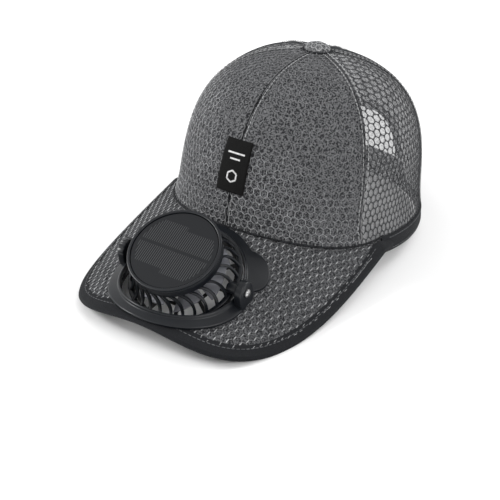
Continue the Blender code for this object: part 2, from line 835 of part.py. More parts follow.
def solar_bezel(parent):
    low = CAP_TOP + GAP
    profile = [(BEZEL_INNER, low), (BEZEL_OUTER, low), (BEZEL_OUTER, BEZEL_TOP - 0.8 * MM),
               (BEZEL_OUTER - 0.8 * MM, BEZEL_TOP), (BEZEL_INNER, BEZEL_TOP)]
    return new_object("solar_bezel", turned(profile, POD_SIDES), black_plastic(), parent)


def solar_panel(parent):
    low = CAP_TOP + GAP
    profile = [(0.0, low), (BEZEL_INNER - GAP, low), (BEZEL_INNER - GAP, PANEL_DISC_TOP),
               (0.0, PANEL_DISC_TOP)]
    return new_object("solar_panel", turned(profile, POD_SIDES), solar_cell(), parent)


def fan_motor(parent):
    top = CAP_TOP - CAP_WALL - GAP
    profile = [(0.0, MOTOR_BORE_TOP), (MOTOR_BORE_RADIUS, MOTOR_BORE_TOP), (MOTOR_BORE_RADIUS, MOTOR_BOTTOM),
               (MOTOR_RADIUS, MOTOR_BOTTOM), (MOTOR_RADIUS, top), (0.0, top)]
    return new_object("fan_motor", turned(profile, 16), motor_steel(), parent)


def slot_loop(row, index):
    """One slot of the guard, between two bars of equal width."""
    first = 2 * pi * index / row["count"]
    step = 2 * pi / row["count"]
    loop = []
    for radius, order in ((row["inner"], (0, 1)), (row["outer"], (1, 0.5, 0))):
        half_bar = row["bar"] / 2 / radius
        for part in order:
            angle = first + half_bar + (step - 2 * half_bar) * part
            loop.append((radius * cos(angle), radius * sin(angle)))
    return loop


def lower_guard(parent):
    slots = [slot_loop(row, k) for row in GUARD_SLOTS for k in range(row["count"])]
    built = sheet(circle(GUARD_RADIUS, POD_SIDES), slots, [],
                  lambda x, y: Vector((x, y, POD_BOTTOM + GUARD_THICKNESS)),
                  lambda x, y: Vector((x, y, POD_BOTTOM)))
    return new_object("lower_guard", built, black_plastic(), parent)


def rotor_blades(parent):
    """Blades twisted from root to tip, all of one length."""
    whole = bmesh.new()
    for k in range(BLADE_COUNT):
        angle = 2 * pi * k / BLADE_COUNT
        outward = Vector((cos(angle), sin(angle), 0))
        aside = Vector((-sin(angle), cos(angle), 0))
        rows = []
        for row in BLADE_SECTIONS:
            chord = aside * cos(row["pitch"]) + Vector((0, 0, sin(row["pitch"])))
            face = aside * -sin(row["pitch"]) + Vector((0, 0, cos(row["pitch"])))
            middle = outward * row["radius"]
            half = BLADE_THICKNESS / 2
            rows.append([whole.verts.new(middle + chord * (row["half_chord"] * a) + face * (half * b))
                         for a, b in ((-1, -1), (1, -1), (1, 1), (-1, 1))])
        for row, after in zip(rows, rows[1:]):
            for i in range(4):
                j = (i + 1) % 4
                whole.faces.new((row[i], row[j], after[j], after[i]))
        whole.faces.new(rows[0])
        whole.faces.new(rows[-1])
    return new_object("blade_guide", whole, blade_plastic(), parent)


def fan_rotor(parent):
    """Hub, shaft and blades in one piece on the fan's axis."""
    profile = [(0.0, HUB_BOTTOM), (HUB_RADIUS - 1.5 * MM, HUB_BOTTOM), (HUB_RADIUS, HUB_BOTTOM + 1.5 * MM),
               (HUB_RADIUS, HUB_TOP), (SHAFT_RADIUS, HUB_TOP), (SHAFT_RADIUS, SHAFT_TOP), (0.0, SHAFT_TOP)]
    rotor = new_object("fan_rotor", turned(profile, 16), blade_plastic(), parent)
    boolean(rotor, rotor_blades(parent), "UNION")
    return rotor


def pivot_screw(name, side, parent):
    """A pan-head screw through the ear into the pod's boss."""
    head = EAR_INNER_X + EAR_THICKNESS + GAP
    foot = EAR_INNER_X - BOSS_BORE_DEPTH + 2 * GAP
    profile = [(0.0, foot), (SCREW_SHANK_RADIUS, foot), (SCREW_SHANK_RADIUS, head),
               (SCREW_HEAD_RADIUS, head), (SCREW_HEAD_RADIUS, head + 0.6 * SCREW_HEAD_HEIGHT),
               (SCREW_HEAD_RADIUS * 0.7, head + SCREW_HEAD_HEIGHT), (0.0, head + SCREW_HEAD_HEIGHT)]
    built = turned(profile, 16)
    bmesh.ops.transform(built, matrix=Matrix.Rotation(side * pi / 2, 4, "Y"), verts=built.verts)
    return new_object("pivot_screw_" + name, built, screw_steel(), parent)


# The whole hat
def world_points():
    """Every corner of the shown solids, in world space."""
    bpy.context.view_layer.update()
    seen = bpy.context.evaluated_depsgraph_get()
    points = []
    for item in bpy.data.objects:
        if item.type == "MESH" and not item.hide_render:
            shown = item.evaluated_get(seen)
            points += [item.matrix_world @ v.co for v in shown.data.vertices]
    return points


def settle(hat):
    """Tips the hat until its front corners and rear hem share a level, and centres it there."""
    points = world_points()
    low, high = radians(-15), 0.0
    for _ in range(30):
        tip = (low + high) / 2
        front = min(p.y * sin(tip) + p.z * cos(tip) for p in points if p.y < -60 * MM)
        rear = min(p.y * sin(tip) + p.z * cos(tip) for p in points if p.y > 0)
        if front > rear:
            low = tip
        else:
            high = tip
    turn = Matrix.Rotation(tip, 4, "X")
    rested = [turn @ p for p in points]
    centre = [(min(p[i] for p in rested) + max(p[i] for p in rested)) / 2 for i in range(2)]
    hat.rotation_euler = (tip, 0.0, 0.0)
    hat.location = (-centre[0], -centre[1], -min(p.z for p in rested))
    bpy.context.view_layer.update()


def build_hat():
    clear_scene()
    hat = new_empty("hat_frame")
    for row in PANELS:
        crown_panel(row, hat)
    top_button(hat)
    front_label(hat)
    hem_binding(hat)
    peak(hat)
    peak_binding(hat)
    fan_base_plate(hat)
    under_ring(hat)
    pod = new_empty("pod_frame", hat)
    pod.location = PIVOT
    pod.rotation_euler = (POD_TILT, 0.0, 0.0)
    fan_housing(pod)
    lower_guard(pod)
    solar_bezel(pod)
    solar_panel(pod)
    fan_motor(pod)
    fan_rotor(pod)
    pivot_screw("left", 1, pod)
    pivot_screw("right", -1, pod)
    settle(hat)
    pivot_world = pod.matrix_world
    print("rest tip in degrees", round(math.degrees(hat.rotation_euler.x), 3))
    print("hat frame at", [round(v, 6) for v in hat.location])
    print("pivot at", [round(v, 6) for v in pivot_world.translation])
    print("fan axis", [round(v, 6) for v in pivot_world.to_3x3() @ Vector((0, 0, 1))])


build_hat()
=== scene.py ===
# %% [markdown]
# A six-panel cap with a solar fan in its peak.
# The hard frame of the object already exists as simple solids. This script dresses them: coarse
# hexagonal net, taped edges, stitches, a moulded fan and a solar disc. Run the cells from top to
# bottom. Each one makes one piece or one finish.

# %% Open the frame
import json
import math
import random
from math import asin, atan2, cos, degrees, exp, hypot, pi, radians, sin, sqrt, tan

import bmesh
import bpy
from mathutils import Matrix, Vector
from mathutils.geometry import intersect_point_line


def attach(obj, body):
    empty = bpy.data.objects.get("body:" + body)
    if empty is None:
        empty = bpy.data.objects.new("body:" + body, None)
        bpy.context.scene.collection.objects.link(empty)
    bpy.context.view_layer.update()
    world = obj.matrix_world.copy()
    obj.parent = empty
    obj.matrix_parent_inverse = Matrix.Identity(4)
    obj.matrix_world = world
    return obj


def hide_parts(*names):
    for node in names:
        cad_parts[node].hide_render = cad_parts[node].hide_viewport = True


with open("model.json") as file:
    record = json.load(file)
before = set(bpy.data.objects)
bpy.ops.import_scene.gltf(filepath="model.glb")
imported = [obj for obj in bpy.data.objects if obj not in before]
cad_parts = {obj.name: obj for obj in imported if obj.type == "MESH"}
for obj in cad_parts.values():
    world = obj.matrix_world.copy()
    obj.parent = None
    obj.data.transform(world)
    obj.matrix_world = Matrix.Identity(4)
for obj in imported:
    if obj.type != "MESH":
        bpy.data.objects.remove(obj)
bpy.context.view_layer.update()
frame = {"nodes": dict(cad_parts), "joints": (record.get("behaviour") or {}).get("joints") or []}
chance = random.Random(7)
MM = 0.001
GAP = 0.3 * MM
print("solids in the frame", len(frame["nodes"]))

# %% [markdown]
# The cap was modelled in its own frame: the peak points along -Y, the wearer's left is +X and
# z = 0 is the rear hem. On a table the cap tips a little, so every new mesh is first made in the
# cap's frame and then carried to the table by one matrix. The fan pod has a frame of its own,
# with its origin on the hinge and Z along the fan's axis. Both follow from the two joints.

# %% Find the cap and the fan on the table
PIVOT = Vector((0.0, -139.5 * MM, 3.6 * MM))
POD_TILT = radians(33.0)
joints = {row["name"]: row for row in frame["joints"]}
hinge = Vector(joints["fan_tilt"]["pos_m"])
fan_axis = Vector(joints["fan_spin"]["axis"])
tip = atan2(-fan_axis.y, fan_axis.z) - POD_TILT
HAT = Matrix.Translation(hinge) @ Matrix.Rotation(tip, 4, "X") @ Matrix.Translation(-PIVOT)
POD = Matrix.Translation(hinge) @ Matrix.Rotation(tip + POD_TILT, 4, "X")
print("the cap rests tipped by", round(degrees(tip), 2), "degrees")

# %% [markdown]
# Shaders are easier to read as sums than as wires. This small class wraps the output of a node,
# so that a + b or a * 2 in Python adds a Math node and links it. Any other node is made with one
# method that takes its type, its settings and its inputs.

# %% Reckon with node outputs
class Value:
    """The output of one node, which can be reckoned with like a number."""

    def __init__(self, tree, socket):
        self.tree = tree
        self.socket = socket

    def node(self, kind, settings, inputs, output=0):
        made = self.tree.nodes.new(kind)
        for name, choice in settings.items():
            setattr(made, name, choice)
        for key, given in inputs.items():
            if isinstance(given, Value):
                self.tree.links.new(given.socket, made.inputs[key])
            else:
                made.inputs[key].default_value = given
        return Value(self.tree, made.outputs[output])

    def maths(self, operation, first, second=0.0):
        return self.node("ShaderNodeMath", {"operation": operation}, {0: first, 1: second})

    def __add__(self, other):
        return self.maths("ADD", self, other)

    def __sub__(self, other):
        return self.maths("SUBTRACT", self, other)

    def __rsub__(self, other):
        return self.maths("SUBTRACT", other, self)

    def __mul__(self, other):
        return self.maths("MULTIPLY", self, other)

    def __truediv__(self, other):
        return self.maths("DIVIDE", self, other)

    def __gt__(self, other):
        return self.maths("GREATER_THAN", self, other)

    def __lt__(self, other):
        return self.maths("LESS_THAN", self, other)

    __radd__ = __add__
    __rmul__ = __mul__

    def sine(self):
        return self.maths("SINE", self)

    def size(self):
        return self.maths("ABSOLUTE", self)

    def wrap(self, length):
        """The value counted round and round between 0 and the length."""
        return self.maths("FLOORED_MODULO", self, length)

    def ease(self, low, high):
        """0 below low, 1 above high and a soft step between."""
        settings = {"interpolation_type": "SMOOTHSTEP"}
        return self.node("ShaderNodeMapRange", settings, {0: self, 1: low, 2: high})

    def colour(self, dark, light):
        """A blend from the dark colour at 0 to the light one at 1."""
        settings = {"data_type": "RGBA"}
        inputs = {0: self, 6: (*dark, 1.0), 7: (*light, 1.0)}
        return self.node("ShaderNodeMix", settings, inputs, output=2)


print("values can be added, multiplied and blended")

# %% [markdown]
# A finish starts from the place of every point in the frame where its piece was modelled. New
# pieces carry it as an attribute, so a weave follows the cloth. The solids of the frame that are
# kept as they are use their object coordinates.

# %% Start and end a finish
def grey(level):
    return (level, level, level)


def start_finish(name, on_solid=False):
    """A new material and the place of its points in millimetres, whole and as x, y and z."""
    made = bpy.data.materials.new(name)
    made.use_nodes = True
    tree = made.node_tree
    source = Value(tree, None)
    if on_solid:
        place = source.node("ShaderNodeTexCoord", {}, {}, output=3)
    else:
        place = source.node("ShaderNodeAttribute", {"attribute_name": "place"}, {}, output=1)
    scaled = source.node("ShaderNodeVectorMath", {"operation": "SCALE"}, {0: place, 3: 1000.0})
    parts = [source.node("ShaderNodeSeparateXYZ", {}, {0: scaled}, output=i) for i in range(3)]
    return made, scaled, parts


def noise(place, scale, detail=2.0, output=0):
    inputs = {"Vector": place, "Scale": scale, "Detail": detail}
    return place.node("ShaderNodeTexNoise", {}, inputs, output=output)


def end_finish(made, colour, roughness, height=None, depth=0.1, **more):
    """Links the values that vary to the shader and sets the others on its sockets."""
    tree = made.node_tree
    shader = tree.nodes["Principled BSDF"]
    more.update({"Base_Color": colour, "Roughness": roughness})
    for key, given in more.items():
        socket = shader.inputs[key.replace("_", " ")]
        if isinstance(given, Value):
            tree.links.new(given.socket, socket)
        else:
            socket.default_value = given
    if height is not None:
        bump = height.node("ShaderNodeBump", {}, {"Strength": 1.0, "Distance": depth * MM, "Height": height})
        tree.links.new(bump.socket, shader.inputs["Normal"])
    return made


print("two ways to read the place: attribute and object coordinates")

# %% [markdown]
# Yarn is never one flat grey. A fine noise darkens some fibres, and a stretched wave along the
# place gives the twist of the yarn. The front of the cap has light yarn over dark cloth, and the
# sides and back a darker open net.

# %% Finish of the yarns
def yarn(name, dark, light, fades_at=None):
    """Fades_at is the height in millimetres where the yarn begins to sink into the flecks.

    It sinks earlier on the wearer's left, as painted shade where the light falls flatter.
    """
    made, place, (x, y, z) = start_finish(name)
    fibres = noise(place, 2.2, 4.0)
    patches = noise(place, 0.12)
    twist = ((x + y + z) * 7.0 + fibres * 5.0).sine()
    flecks = noise(place, 0.75, 2.0)
    blend = (flecks * 1.5 + fibres * 0.4 + patches * 0.3 - 0.6).ease(0.05, 0.95)
    if fades_at is not None:
        # The yarn darkens above fades_at; its darkening towards the wearer's left is painted shade for the flatter
        # light there.
        show = ((z * -1.0 + fades_at) * 0.02 + x * -0.012 + noise(place, 0.03, 1.0)).ease(0.2, 1.0)
        blend = blend * (show * 0.6 + 0.4)
    return end_finish(made, blend.colour(dark, light), 0.85, twist * 0.5 + fibres, 0.12,
                      Specular_IOR_Level=0.2)


light_yarn = yarn("light_yarn", (0.085, 0.086, 0.089), (0.46, 0.465, 0.475), fades_at=74.0)
# bright_yarn also gives the painted highlights on the peak's upright strands.
bright_yarn = yarn("bright_yarn", (0.2, 0.202, 0.205), (0.46, 0.465, 0.475))
dim_yarn = yarn("dim_yarn", (0.05, 0.051, 0.054), (0.19, 0.192, 0.198))
dark_yarn = yarn("dark_yarn", (0.02, 0.021, 0.023), (0.075, 0.077, 0.081))
thread = yarn("pale_thread", (0.24, 0.242, 0.246), (0.48, 0.485, 0.49))
dark_thread = yarn("dark_thread", (0.05, 0.052, 0.056), (0.17, 0.174, 0.18))
mark_thread = yarn("mark_thread", (0.45, 0.45, 0.45), (0.75, 0.75, 0.75))
print("yarns:", light_yarn.name, bright_yarn.name, dark_yarn.name, thread.name)

# %% [markdown]
# The opaque cloth behind the front net is a knit of dark and mid grey flecks. Two noises of
# different size give the mottled look, and a checked bump gives the loops of the knit.

# %% Finish of the cloths
def cloth(name, dark, light, **more):
    made, place, (x, y, z) = start_finish(name)
    flecks = noise(place, 0.9, 2.0)
    grains = noise(place, 2.0, 3.0)
    blend = (flecks * 0.65 + grains * 0.35).ease(0.44, 0.58)
    loops = (x * 5.2).sine() * (z * 5.2).sine() + (y * 5.2).sine() * 0.5
    if "Alpha" in more:
        more["Alpha"] = blend * 0.3 + (more["Alpha"] - 0.15)
    return end_finish(made, blend.colour(dark, light), 0.9, loops + grains * 2.0, 0.1,
                      Specular_IOR_Level=0.2, **more)


backing_cloth = cloth("backing_cloth", (0.02, 0.0205, 0.023), (0.165, 0.167, 0.173))
peak_cloth = cloth("peak_cloth", (0.018, 0.0185, 0.0205), (0.115, 0.117, 0.122))
button_cloth = cloth("button_cloth", (0.06, 0.061, 0.065), (0.24, 0.242, 0.246))
# Near-black cloth that paints shade: the front seam's groove, the corner between crown and peak and the foot of the
# button.
seam_shade_cloth = cloth("seam_shade_cloth", (0.006, 0.0065, 0.0075), (0.025, 0.026, 0.029))
sheer_cloth = cloth("sheer_cloth", (0.13, 0.132, 0.137), (0.27, 0.272, 0.278), Alpha=0.68)
print("cloths:", backing_cloth.name, button_cloth.name, seam_shade_cloth.name, sheer_cloth.name)

# %% [markdown]
# The edges are bound with a dense twill tape, almost black with a blue cast. Twill shows fine
# slanting ribs, which is a sine of x + y + z. The label is a tighter weave, so its bump is a
# product of two sines.

# %% Finish of the tape and the label
def tape_finish():
    made, place, (x, y, z) = start_finish("navy_tape")
    ribs = ((x * 0.8 + y + z * 0.6) * 9.0).sine()
    fibres = noise(place, 1.8, 3.0)
    blend = (ribs * 0.2 + fibres).ease(0.3, 0.95)
    return end_finish(made, blend.colour((0.003, 0.0035, 0.0045), (0.015, 0.0165, 0.021)), 0.8, ribs + fibres, 0.1,
                      Specular_IOR_Level=0.25)


def label_finish():
    made, place, (x, y, z) = start_finish("black_weave")
    weave = (x * 8.0).sine() * (z * 8.0).sine()
    fibres = noise(place, 2.5, 2.0)
    blend = (weave * 0.3 + fibres).ease(0.2, 1.0)
    return end_finish(made, blend.colour(grey(0.002), grey(0.008)), 0.75, weave, 0.1,
                      Specular_IOR_Level=0.12)


tape = tape_finish()
label_weave = label_finish()
print("woven:", tape.name, label_weave.name)

# %% [markdown]
# Moulded plastic is smooth but never a mirror: a faint noise in the roughness breaks up the
# reflections, and a slight bump gives the skin of the mould. The fan's blades are a glossier
# grey. Steel parts get a brushed ring pattern.

# %% Finish of the hard parts
def plastic(name, dark, light, gloss, coat, on_solid=False):
    made, place, _ = start_finish(name, on_solid)
    skin = noise(place, 1.4, 3.0)
    clouds = noise(place, 0.08, 2.0)
    roughness = clouds * 0.14 + skin * 0.08 + (gloss - 0.11)
    return end_finish(made, clouds.colour(dark, light), roughness, skin, 0.015, Coat_Weight=coat,
                      Coat_Roughness=0.12, Specular_IOR_Level=0.3)


def metal(name, level, on_solid=False):
    made, place, (x, y, z) = start_finish(name, on_solid)
    grain = noise(place, 3.0, 3.0)
    brushed = ((y * y + z * z) * 6.0).sine() * 0.5 + grain
    return end_finish(made, grain.colour(grey(level * 0.8), grey(level)), grain * 0.15 + 0.2, brushed, 0.01,
                      Metallic=1.0)


black_plastic = plastic("black_plastic_skin", (0.003, 0.004, 0.0058), (0.0065, 0.008, 0.0108), 0.34, 0.12)
solid_plastic = plastic("plain_black_plastic", grey(0.01), grey(0.022), 0.42, 0.0, on_solid=True)
blade_plastic = plastic("grey_blade_plastic", (0.22, 0.225, 0.25), (0.38, 0.385, 0.42), 0.2, 0.6)
steel = metal("bright_steel", 0.5)
motor_can = metal("motor_can", 0.6, on_solid=True)
print("hard:", black_plastic.name, blade_plastic.name, steel.name, motor_can.name)

# %% [markdown]
# A small solar module: two dark cells side by side in a disc, each crossed by fine silver
# fingers, in satin resin. The module is cut from square wafers, so the active area ends in
# steps near the rim. Everything is reckoned from x and y in the fan's own frame.

# %% Finish of the solar disc
def solar_finish():
    made, place, (across, along, _) = start_finish("solar_cells")
    fingers = ((across + 0.7).wrap(1.4) - 0.7).size() < 0.22
    half = (along * -1.0 * (across / across.size()) > 0.0) * 3.0 + 14.5
    active = (along.size() < half) * (along.size() > 1.1) * ((across * across + along * along) < 590.0)
    cloud = noise(place, 0.06, 2.0)
    base = (active * (cloud * 0.4 + 0.6)).colour((0.013, 0.0138, 0.0155), (0.007, 0.0073, 0.0085))
    lines = fingers * active
    silver = base.node("ShaderNodeMix", {"data_type": "RGBA"},
                       {0: lines * 0.75, 6: base, 7: (0.075, 0.077, 0.081, 1.0)}, output=2)
    return end_finish(made, silver, 0.5, lines, 0.02, Specular_IOR_Level=0.12)


solar = solar_finish()
print("solar finish:", solar.name)

# %% [markdown]
# One function ends every piece. It stores the place of each point, carries the mesh to the table, smooths the shading
# except at sharp corners and says which body the piece rides on, which solids it stands for and which finish it wears.

# %% Finish a piece
def finish_piece(name, built, finish, carry, body, solids=(), smooth=40, levels=0):
    layer = built.verts.layers.float_vector.new("place")
    for vert in built.verts:
        vert[layer] = vert.co
    bmesh.ops.transform(built, matrix=carry, verts=built.verts)
    mesh = bpy.data.meshes.new(name)
    built.to_mesh(mesh)
    built.free()
    mesh.shade_smooth()
    mesh.set_sharp_from_angle(angle=radians(smooth))
    mesh.materials.append(finish)
    made = bpy.data.objects.new(name, mesh)
    bpy.context.collection.objects.link(made)
    if levels:
        rounding = made.modifiers.new("rounding", "SUBSURF")
        rounding.levels = levels
        rounding.render_levels = levels
    if solids:
        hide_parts(*solids)
    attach(made, body)
    return made


print("pieces can be finished")

# %% [markdown]
# Three ways to make a shape do most of the work. A grid can be wrapped onto any surface. A
# profile can be spun about an axis. And a closed cross-section can be drawn along a path, which
# is a grid too, closed one way and filled at its two ends.

# %% Wrap, spin and round
def wrapped(columns, rows, place, closed=False):
    """A grid whose every point (u, v), each from 0 to 1, is moved to its place."""
    built = bmesh.new()
    bmesh.ops.create_grid(built, x_segments=columns, y_segments=rows, size=0.5)
    for vert in built.verts:
        vert.co = place(vert.co.x + 0.5, vert.co.y + 0.5)
    bmesh.ops.remove_doubles(built, verts=built.verts, dist=1e-6)
    if closed:
        bmesh.ops.holes_fill(built, edges=built.edges, sides=0)
    bmesh.ops.recalc_face_normals(built, faces=built.faces)
    return built


def swept(columns, corners, place):
    """A closed section of (a, b) corners drawn along u, where place takes u, a and b."""
    count = len(corners)
    return wrapped(columns, count, lambda u, v: place(u, *corners[round(v * count) % count]), closed=True)


def rounded(corners, radius, steps=3):
    """The same closed outline with every corner rounded."""
    ring = []
    count = len(corners)
    for i in range(count):
        corner = Vector(corners[i])
        before = Vector(corners[i - 1]) - corner
        after = Vector(corners[(i + 1) % count]) - corner
        cut = min(radius, before.length * 0.49, after.length * 0.49)
        start = corner + before.normalized() * cut
        end = corner + after.normalized() * cut
        for k in range(steps + 1):
            t = k / steps
            ring.append(tuple(start * (1 - t) ** 2 + corner * 2 * t * (1 - t) + end * t * t))
    return ring


def spun(profile, steps=72):
    """A closed profile of (radius, height) turned once about Z."""
    built = bmesh.new()
    verts = [built.verts.new((r, 0.0, h)) for r, h in profile]
    edges = [built.edges.new(pair) for pair in zip(verts, verts[1:] + verts[:1])]
    bmesh.ops.spin(built, geom=verts + edges, axis=(0, 0, 1), cent=(0, 0, 0), angle=2 * pi, steps=steps,
                   use_merge=True)
    bmesh.ops.remove_doubles(built, verts=built.verts, dist=1e-6)
    bmesh.ops.dissolve_degenerate(built, edges=built.edges, dist=1e-7)
    bmesh.ops.recalc_face_normals(built, faces=built.faces)
    return built


def joined(parts):
    """Several built meshes in one."""
    whole = bmesh.new()
    for part in parts:
        mesh = bpy.data.meshes.new("part")
        part.to_mesh(mesh)
        part.free()
        whole.from_mesh(mesh)
        bpy.data.meshes.remove(mesh)
    return whole


print("a rounded square has", len(rounded([(0, 0), (1, 0), (1, 1), (0, 1)], 0.1)), "points")

# %% [markdown]
# The crown is one smooth dome that was sewn from six gores. Its reach to the front, to the side
# and to the back follows three curves over the height. A point of the dome is given by an azimuth,
# 0 in front and 90 degrees at the wearer's left, and a climb, 0 at the hem and 1 at the top.

# %% Surface of the crown
CROWN_HEIGHT = 113.0 * MM
CROWN_TIP_BACK = 7.0 * MM
CROWN_SIDES = {
    # direction: reach at the hem, power and root of its curve, flare of the hem
    "side": {"reach": 78.5 * MM, "power": 3.5, "root": 2.55, "flare": 5.5 * MM},
    "front": {"reach": 94.5 * MM, "power": 3.3, "root": 3.1, "flare": 0.0},
    "back": {"reach": 105.0 * MM, "power": 2.05, "root": 1.95, "flare": -6.0 * MM},
}
HEM_FLARE_HEIGHT = 16.0 * MM
BAND_HEIGHT = 7.0 * MM
HEM_TURN = (66.0, 80.0)
STRAP_HEIGHT = 18.0 * MM
STRAP_TURN = (25.0, 34.0)
REAR_OPENING_HALF = 23.0
REAR_OPENING_TOP = 52.0 * MM
PEAK_SEAM_HEIGHT = 17.0 * MM
PEAK_BEND = 107.0 * MM
PEAK_PITCH = radians(18.7)
PEAK_THICKNESS = 3.0 * MM


def reach(side, z):
    row = CROWN_SIDES[side]
    part = min(max(z / CROWN_HEIGHT, 0.0), 1.0)
    flare = row["flare"] * exp(-(z / HEM_FLARE_HEIGHT) ** 2)
    return row["reach"] * (1 - part ** row["power"]) ** (1 / row["root"]) + flare


def crown_at(azimuth, z):
    along = reach("front" if cos(azimuth) > 0 else "back", z)
    shift = CROWN_TIP_BACK * (z / CROWN_HEIGHT) ** 2
    return Vector((reach("side", z) * sin(azimuth), -along * cos(azimuth) + shift, z))


def peak_top(x, y):
    """Height of the peak's upper face, which slopes forwards and bends down to its sides."""
    return PEAK_SEAM_HEIGHT - x * x / (2 * PEAK_BEND) + tan(PEAK_PITCH) * (y + 94.5 * MM)


def smooth_step(value, low, high):
    part = min(max((value - low) / (high - low), 0.0), 1.0)
    return part * part * (3 - 2 * part)


def from_rear(azimuth):
    """Degrees between an azimuth and the middle of the back."""
    return abs(degrees(azimuth) % 360 - 180)


def band_top(azimuth):
    """Height of the hem's tape, which widens into the strap at the back."""
    return BAND_HEIGHT + (STRAP_HEIGHT - BAND_HEIGHT) * (1 - smooth_step(from_rear(azimuth), *STRAP_TURN))


def rear_edge(azimuth):
    """Lower edge of the net behind: just over the tape, arched over the rear opening."""
    part = from_rear(azimuth) / REAR_OPENING_HALF
    low = band_top(azimuth) + GAP
    return low if part >= 1 else low + (REAR_OPENING_TOP - low) * (1 - part ** 2.6) ** 0.6


def hem_height(azimuth):
    """The crown ends on the peak in front and on the hem's tape behind."""
    z = PEAK_SEAM_HEIGHT
    for _ in range(6):
        spot = crown_at(azimuth, z)
        z = peak_top(spot.x, spot.y) - PEAK_THICKNESS
    back = smooth_step(180 - from_rear(azimuth), *HEM_TURN)
    return (1 - back) * z + back * rear_edge(azimuth)


def crown_point(azimuth, climb):
    low = hem_height(azimuth)
    return crown_at(azimuth, low + (CROWN_HEIGHT - low) * sin(climb * pi / 2))


def crown_normal(azimuth, climb):
    step = 0.002
    up = crown_point(azimuth, min(climb + step, 1.0)) - crown_point(azimuth, max(climb - step, 0.0))
    across = crown_point(azimuth + step, climb) - crown_point(azimuth - step, climb)
    return across.cross(up).normalized()


def crown_offset(azimuth, climb, distance):
    return crown_point(azimuth, climb) + crown_normal(azimuth, climb) * distance


print("top of the dome at", [round(v / MM, 1) for v in crown_point(0.0, 1.0)], "mm")

# %% [markdown]
# Net is cut from flat cloth, so its cells stay even only if it is laid out flat first. Each gore
# gets a flat pattern: the height is the length along its middle line and the width is the true
# width there. A hexagonal grid is drawn on the pattern, held inside its outline, turned into
# strands with the wireframe operator and then bent onto the dome.

# %% Hexagonal net from a flat pattern
def inside(point, loop):
    hit = False
    px, py = point
    for (ax, ay), (bx, by) in zip(loop, loop[1:] + loop[:1]):
        if (ay > py) != (by > py) and px < (bx - ax) * (py - ay) / (by - ay) + ax:
            hit = not hit
    return hit


def held(point, loop):
    """The point itself inside the loop, or the nearest point of the loop."""
    if inside(point, loop):
        return point
    best = None
    for a, b in zip(loop, loop[1:] + loop[:1]):
        near, part = intersect_point_line(point, a, b)
        near = Vector(a).lerp(Vector(b), min(max(part, 0.0), 1.0))
        gap = (near - point).length
        if best is None or gap < best[0]:
            best = (gap, near)
    return best[1]


def net(loop, pitch, step, width, depth, place, keep=None, wander=0.12 * MM):
    """Strands of a width and depth round hexagons, where place bends (x, y, height) onto the piece.

    Pitch is the distance between two cells of a row and step the distance between two rows. Also
    gives the upright sides of the cells as pairs of places.
    """
    cell = pitch / sqrt(3)
    low_x, high_x = min(p[0] for p in loop), max(p[0] for p in loop)
    low_y, high_y = min(p[1] for p in loop), max(p[1] for p in loop)
    stretch = Matrix.Diagonal((1.0, step / (1.5 * cell), 1.0, 1.0))
    built = bmesh.new()
    for i in range(int((high_x - low_x) / pitch) + 2):
        for j in range(int((high_y - low_y) / step) + 2):
            middle = Vector((low_x + (i + 0.5 * (j % 2)) * pitch, low_y + j * step))
            if inside(middle, loop) and (keep is None or keep(middle)):
                bmesh.ops.create_circle(built, cap_ends=True, segments=6, radius=cell,
                                        matrix=Matrix.Translation(middle.to_3d()) @ stretch)
    bmesh.ops.remove_doubles(built, verts=built.verts, dist=0.2 * cell)
    for vert in built.verts:
        moved = Vector((vert.co.x + chance.uniform(-wander, wander), vert.co.y + chance.uniform(-wander, wander)))
        vert.co = held(moved, loop).to_3d()
    bmesh.ops.remove_doubles(built, verts=built.verts, dist=0.15 * cell)
    bmesh.ops.dissolve_degenerate(built, edges=built.edges, dist=0.05 * cell)
    bmesh.ops.recalc_face_normals(built, faces=built.faces)
    uprights = []
    for edge in built.edges:
        a, b = [vert.co.to_2d() for vert in edge.verts]
        if abs(a.x - b.x) < 0.25 * abs(a.y - b.y) and abs(a.y - b.y) > 0.3 * step:
            uprights.append((a, b))
    bmesh.ops.wireframe(built, faces=built.faces, thickness=width, offset=0.0, use_replace=True,
                        use_boundary=True, use_even_offset=True)
    for vert in built.verts:
        vert.co = place(vert.co.x, vert.co.y, vert.co.z * depth / width)
    bmesh.ops.recalc_face_normals(built, faces=built.faces)
    return built, uprights


GORE_TOP = 0.996


def gore_pattern(middle, half_angle, margin):
    """The flat pattern of a gore and the function that bends it onto the dome."""
    steps = 60
    rows = []
    length = 0.0
    before = crown_point(middle, 0.0)
    for i in range(steps + 1):
        climb = GORE_TOP * i / steps
        spot = crown_point(middle, climb)
        length += (spot - before).length
        before = spot
        rows.append((length, climb, (crown_point(middle + 0.01, climb) - spot).length / 0.01))

    def bend(x, y, height):
        index = 0
        while index < steps - 1 and rows[index + 1][0] < y:
            index += 1
        (y0, climb0, wide0), (y1, climb1, wide1) = rows[index:index + 2]
        part = min(max((y - y0) / (y1 - y0), 0.0), 1.0)
        climb = climb0 + (climb1 - climb0) * part
        wide = wide0 + (wide1 - wide0) * part
        return crown_offset(middle + x / wide, climb, height)

    right = [(max(half_angle * wide - margin, 0.1 * MM), y) for y, _, wide in rows]
    return right + [(-x, y) for x, y in reversed(right)], bend


print("nets are drawn flat and bent afterwards")

# %% [markdown]
# The two front gores are two layers: opaque cloth inside and pale net over it. The cloth is a
# grid wrapped onto the dome a little inside the net, given its thickness by a Solidify modifier.

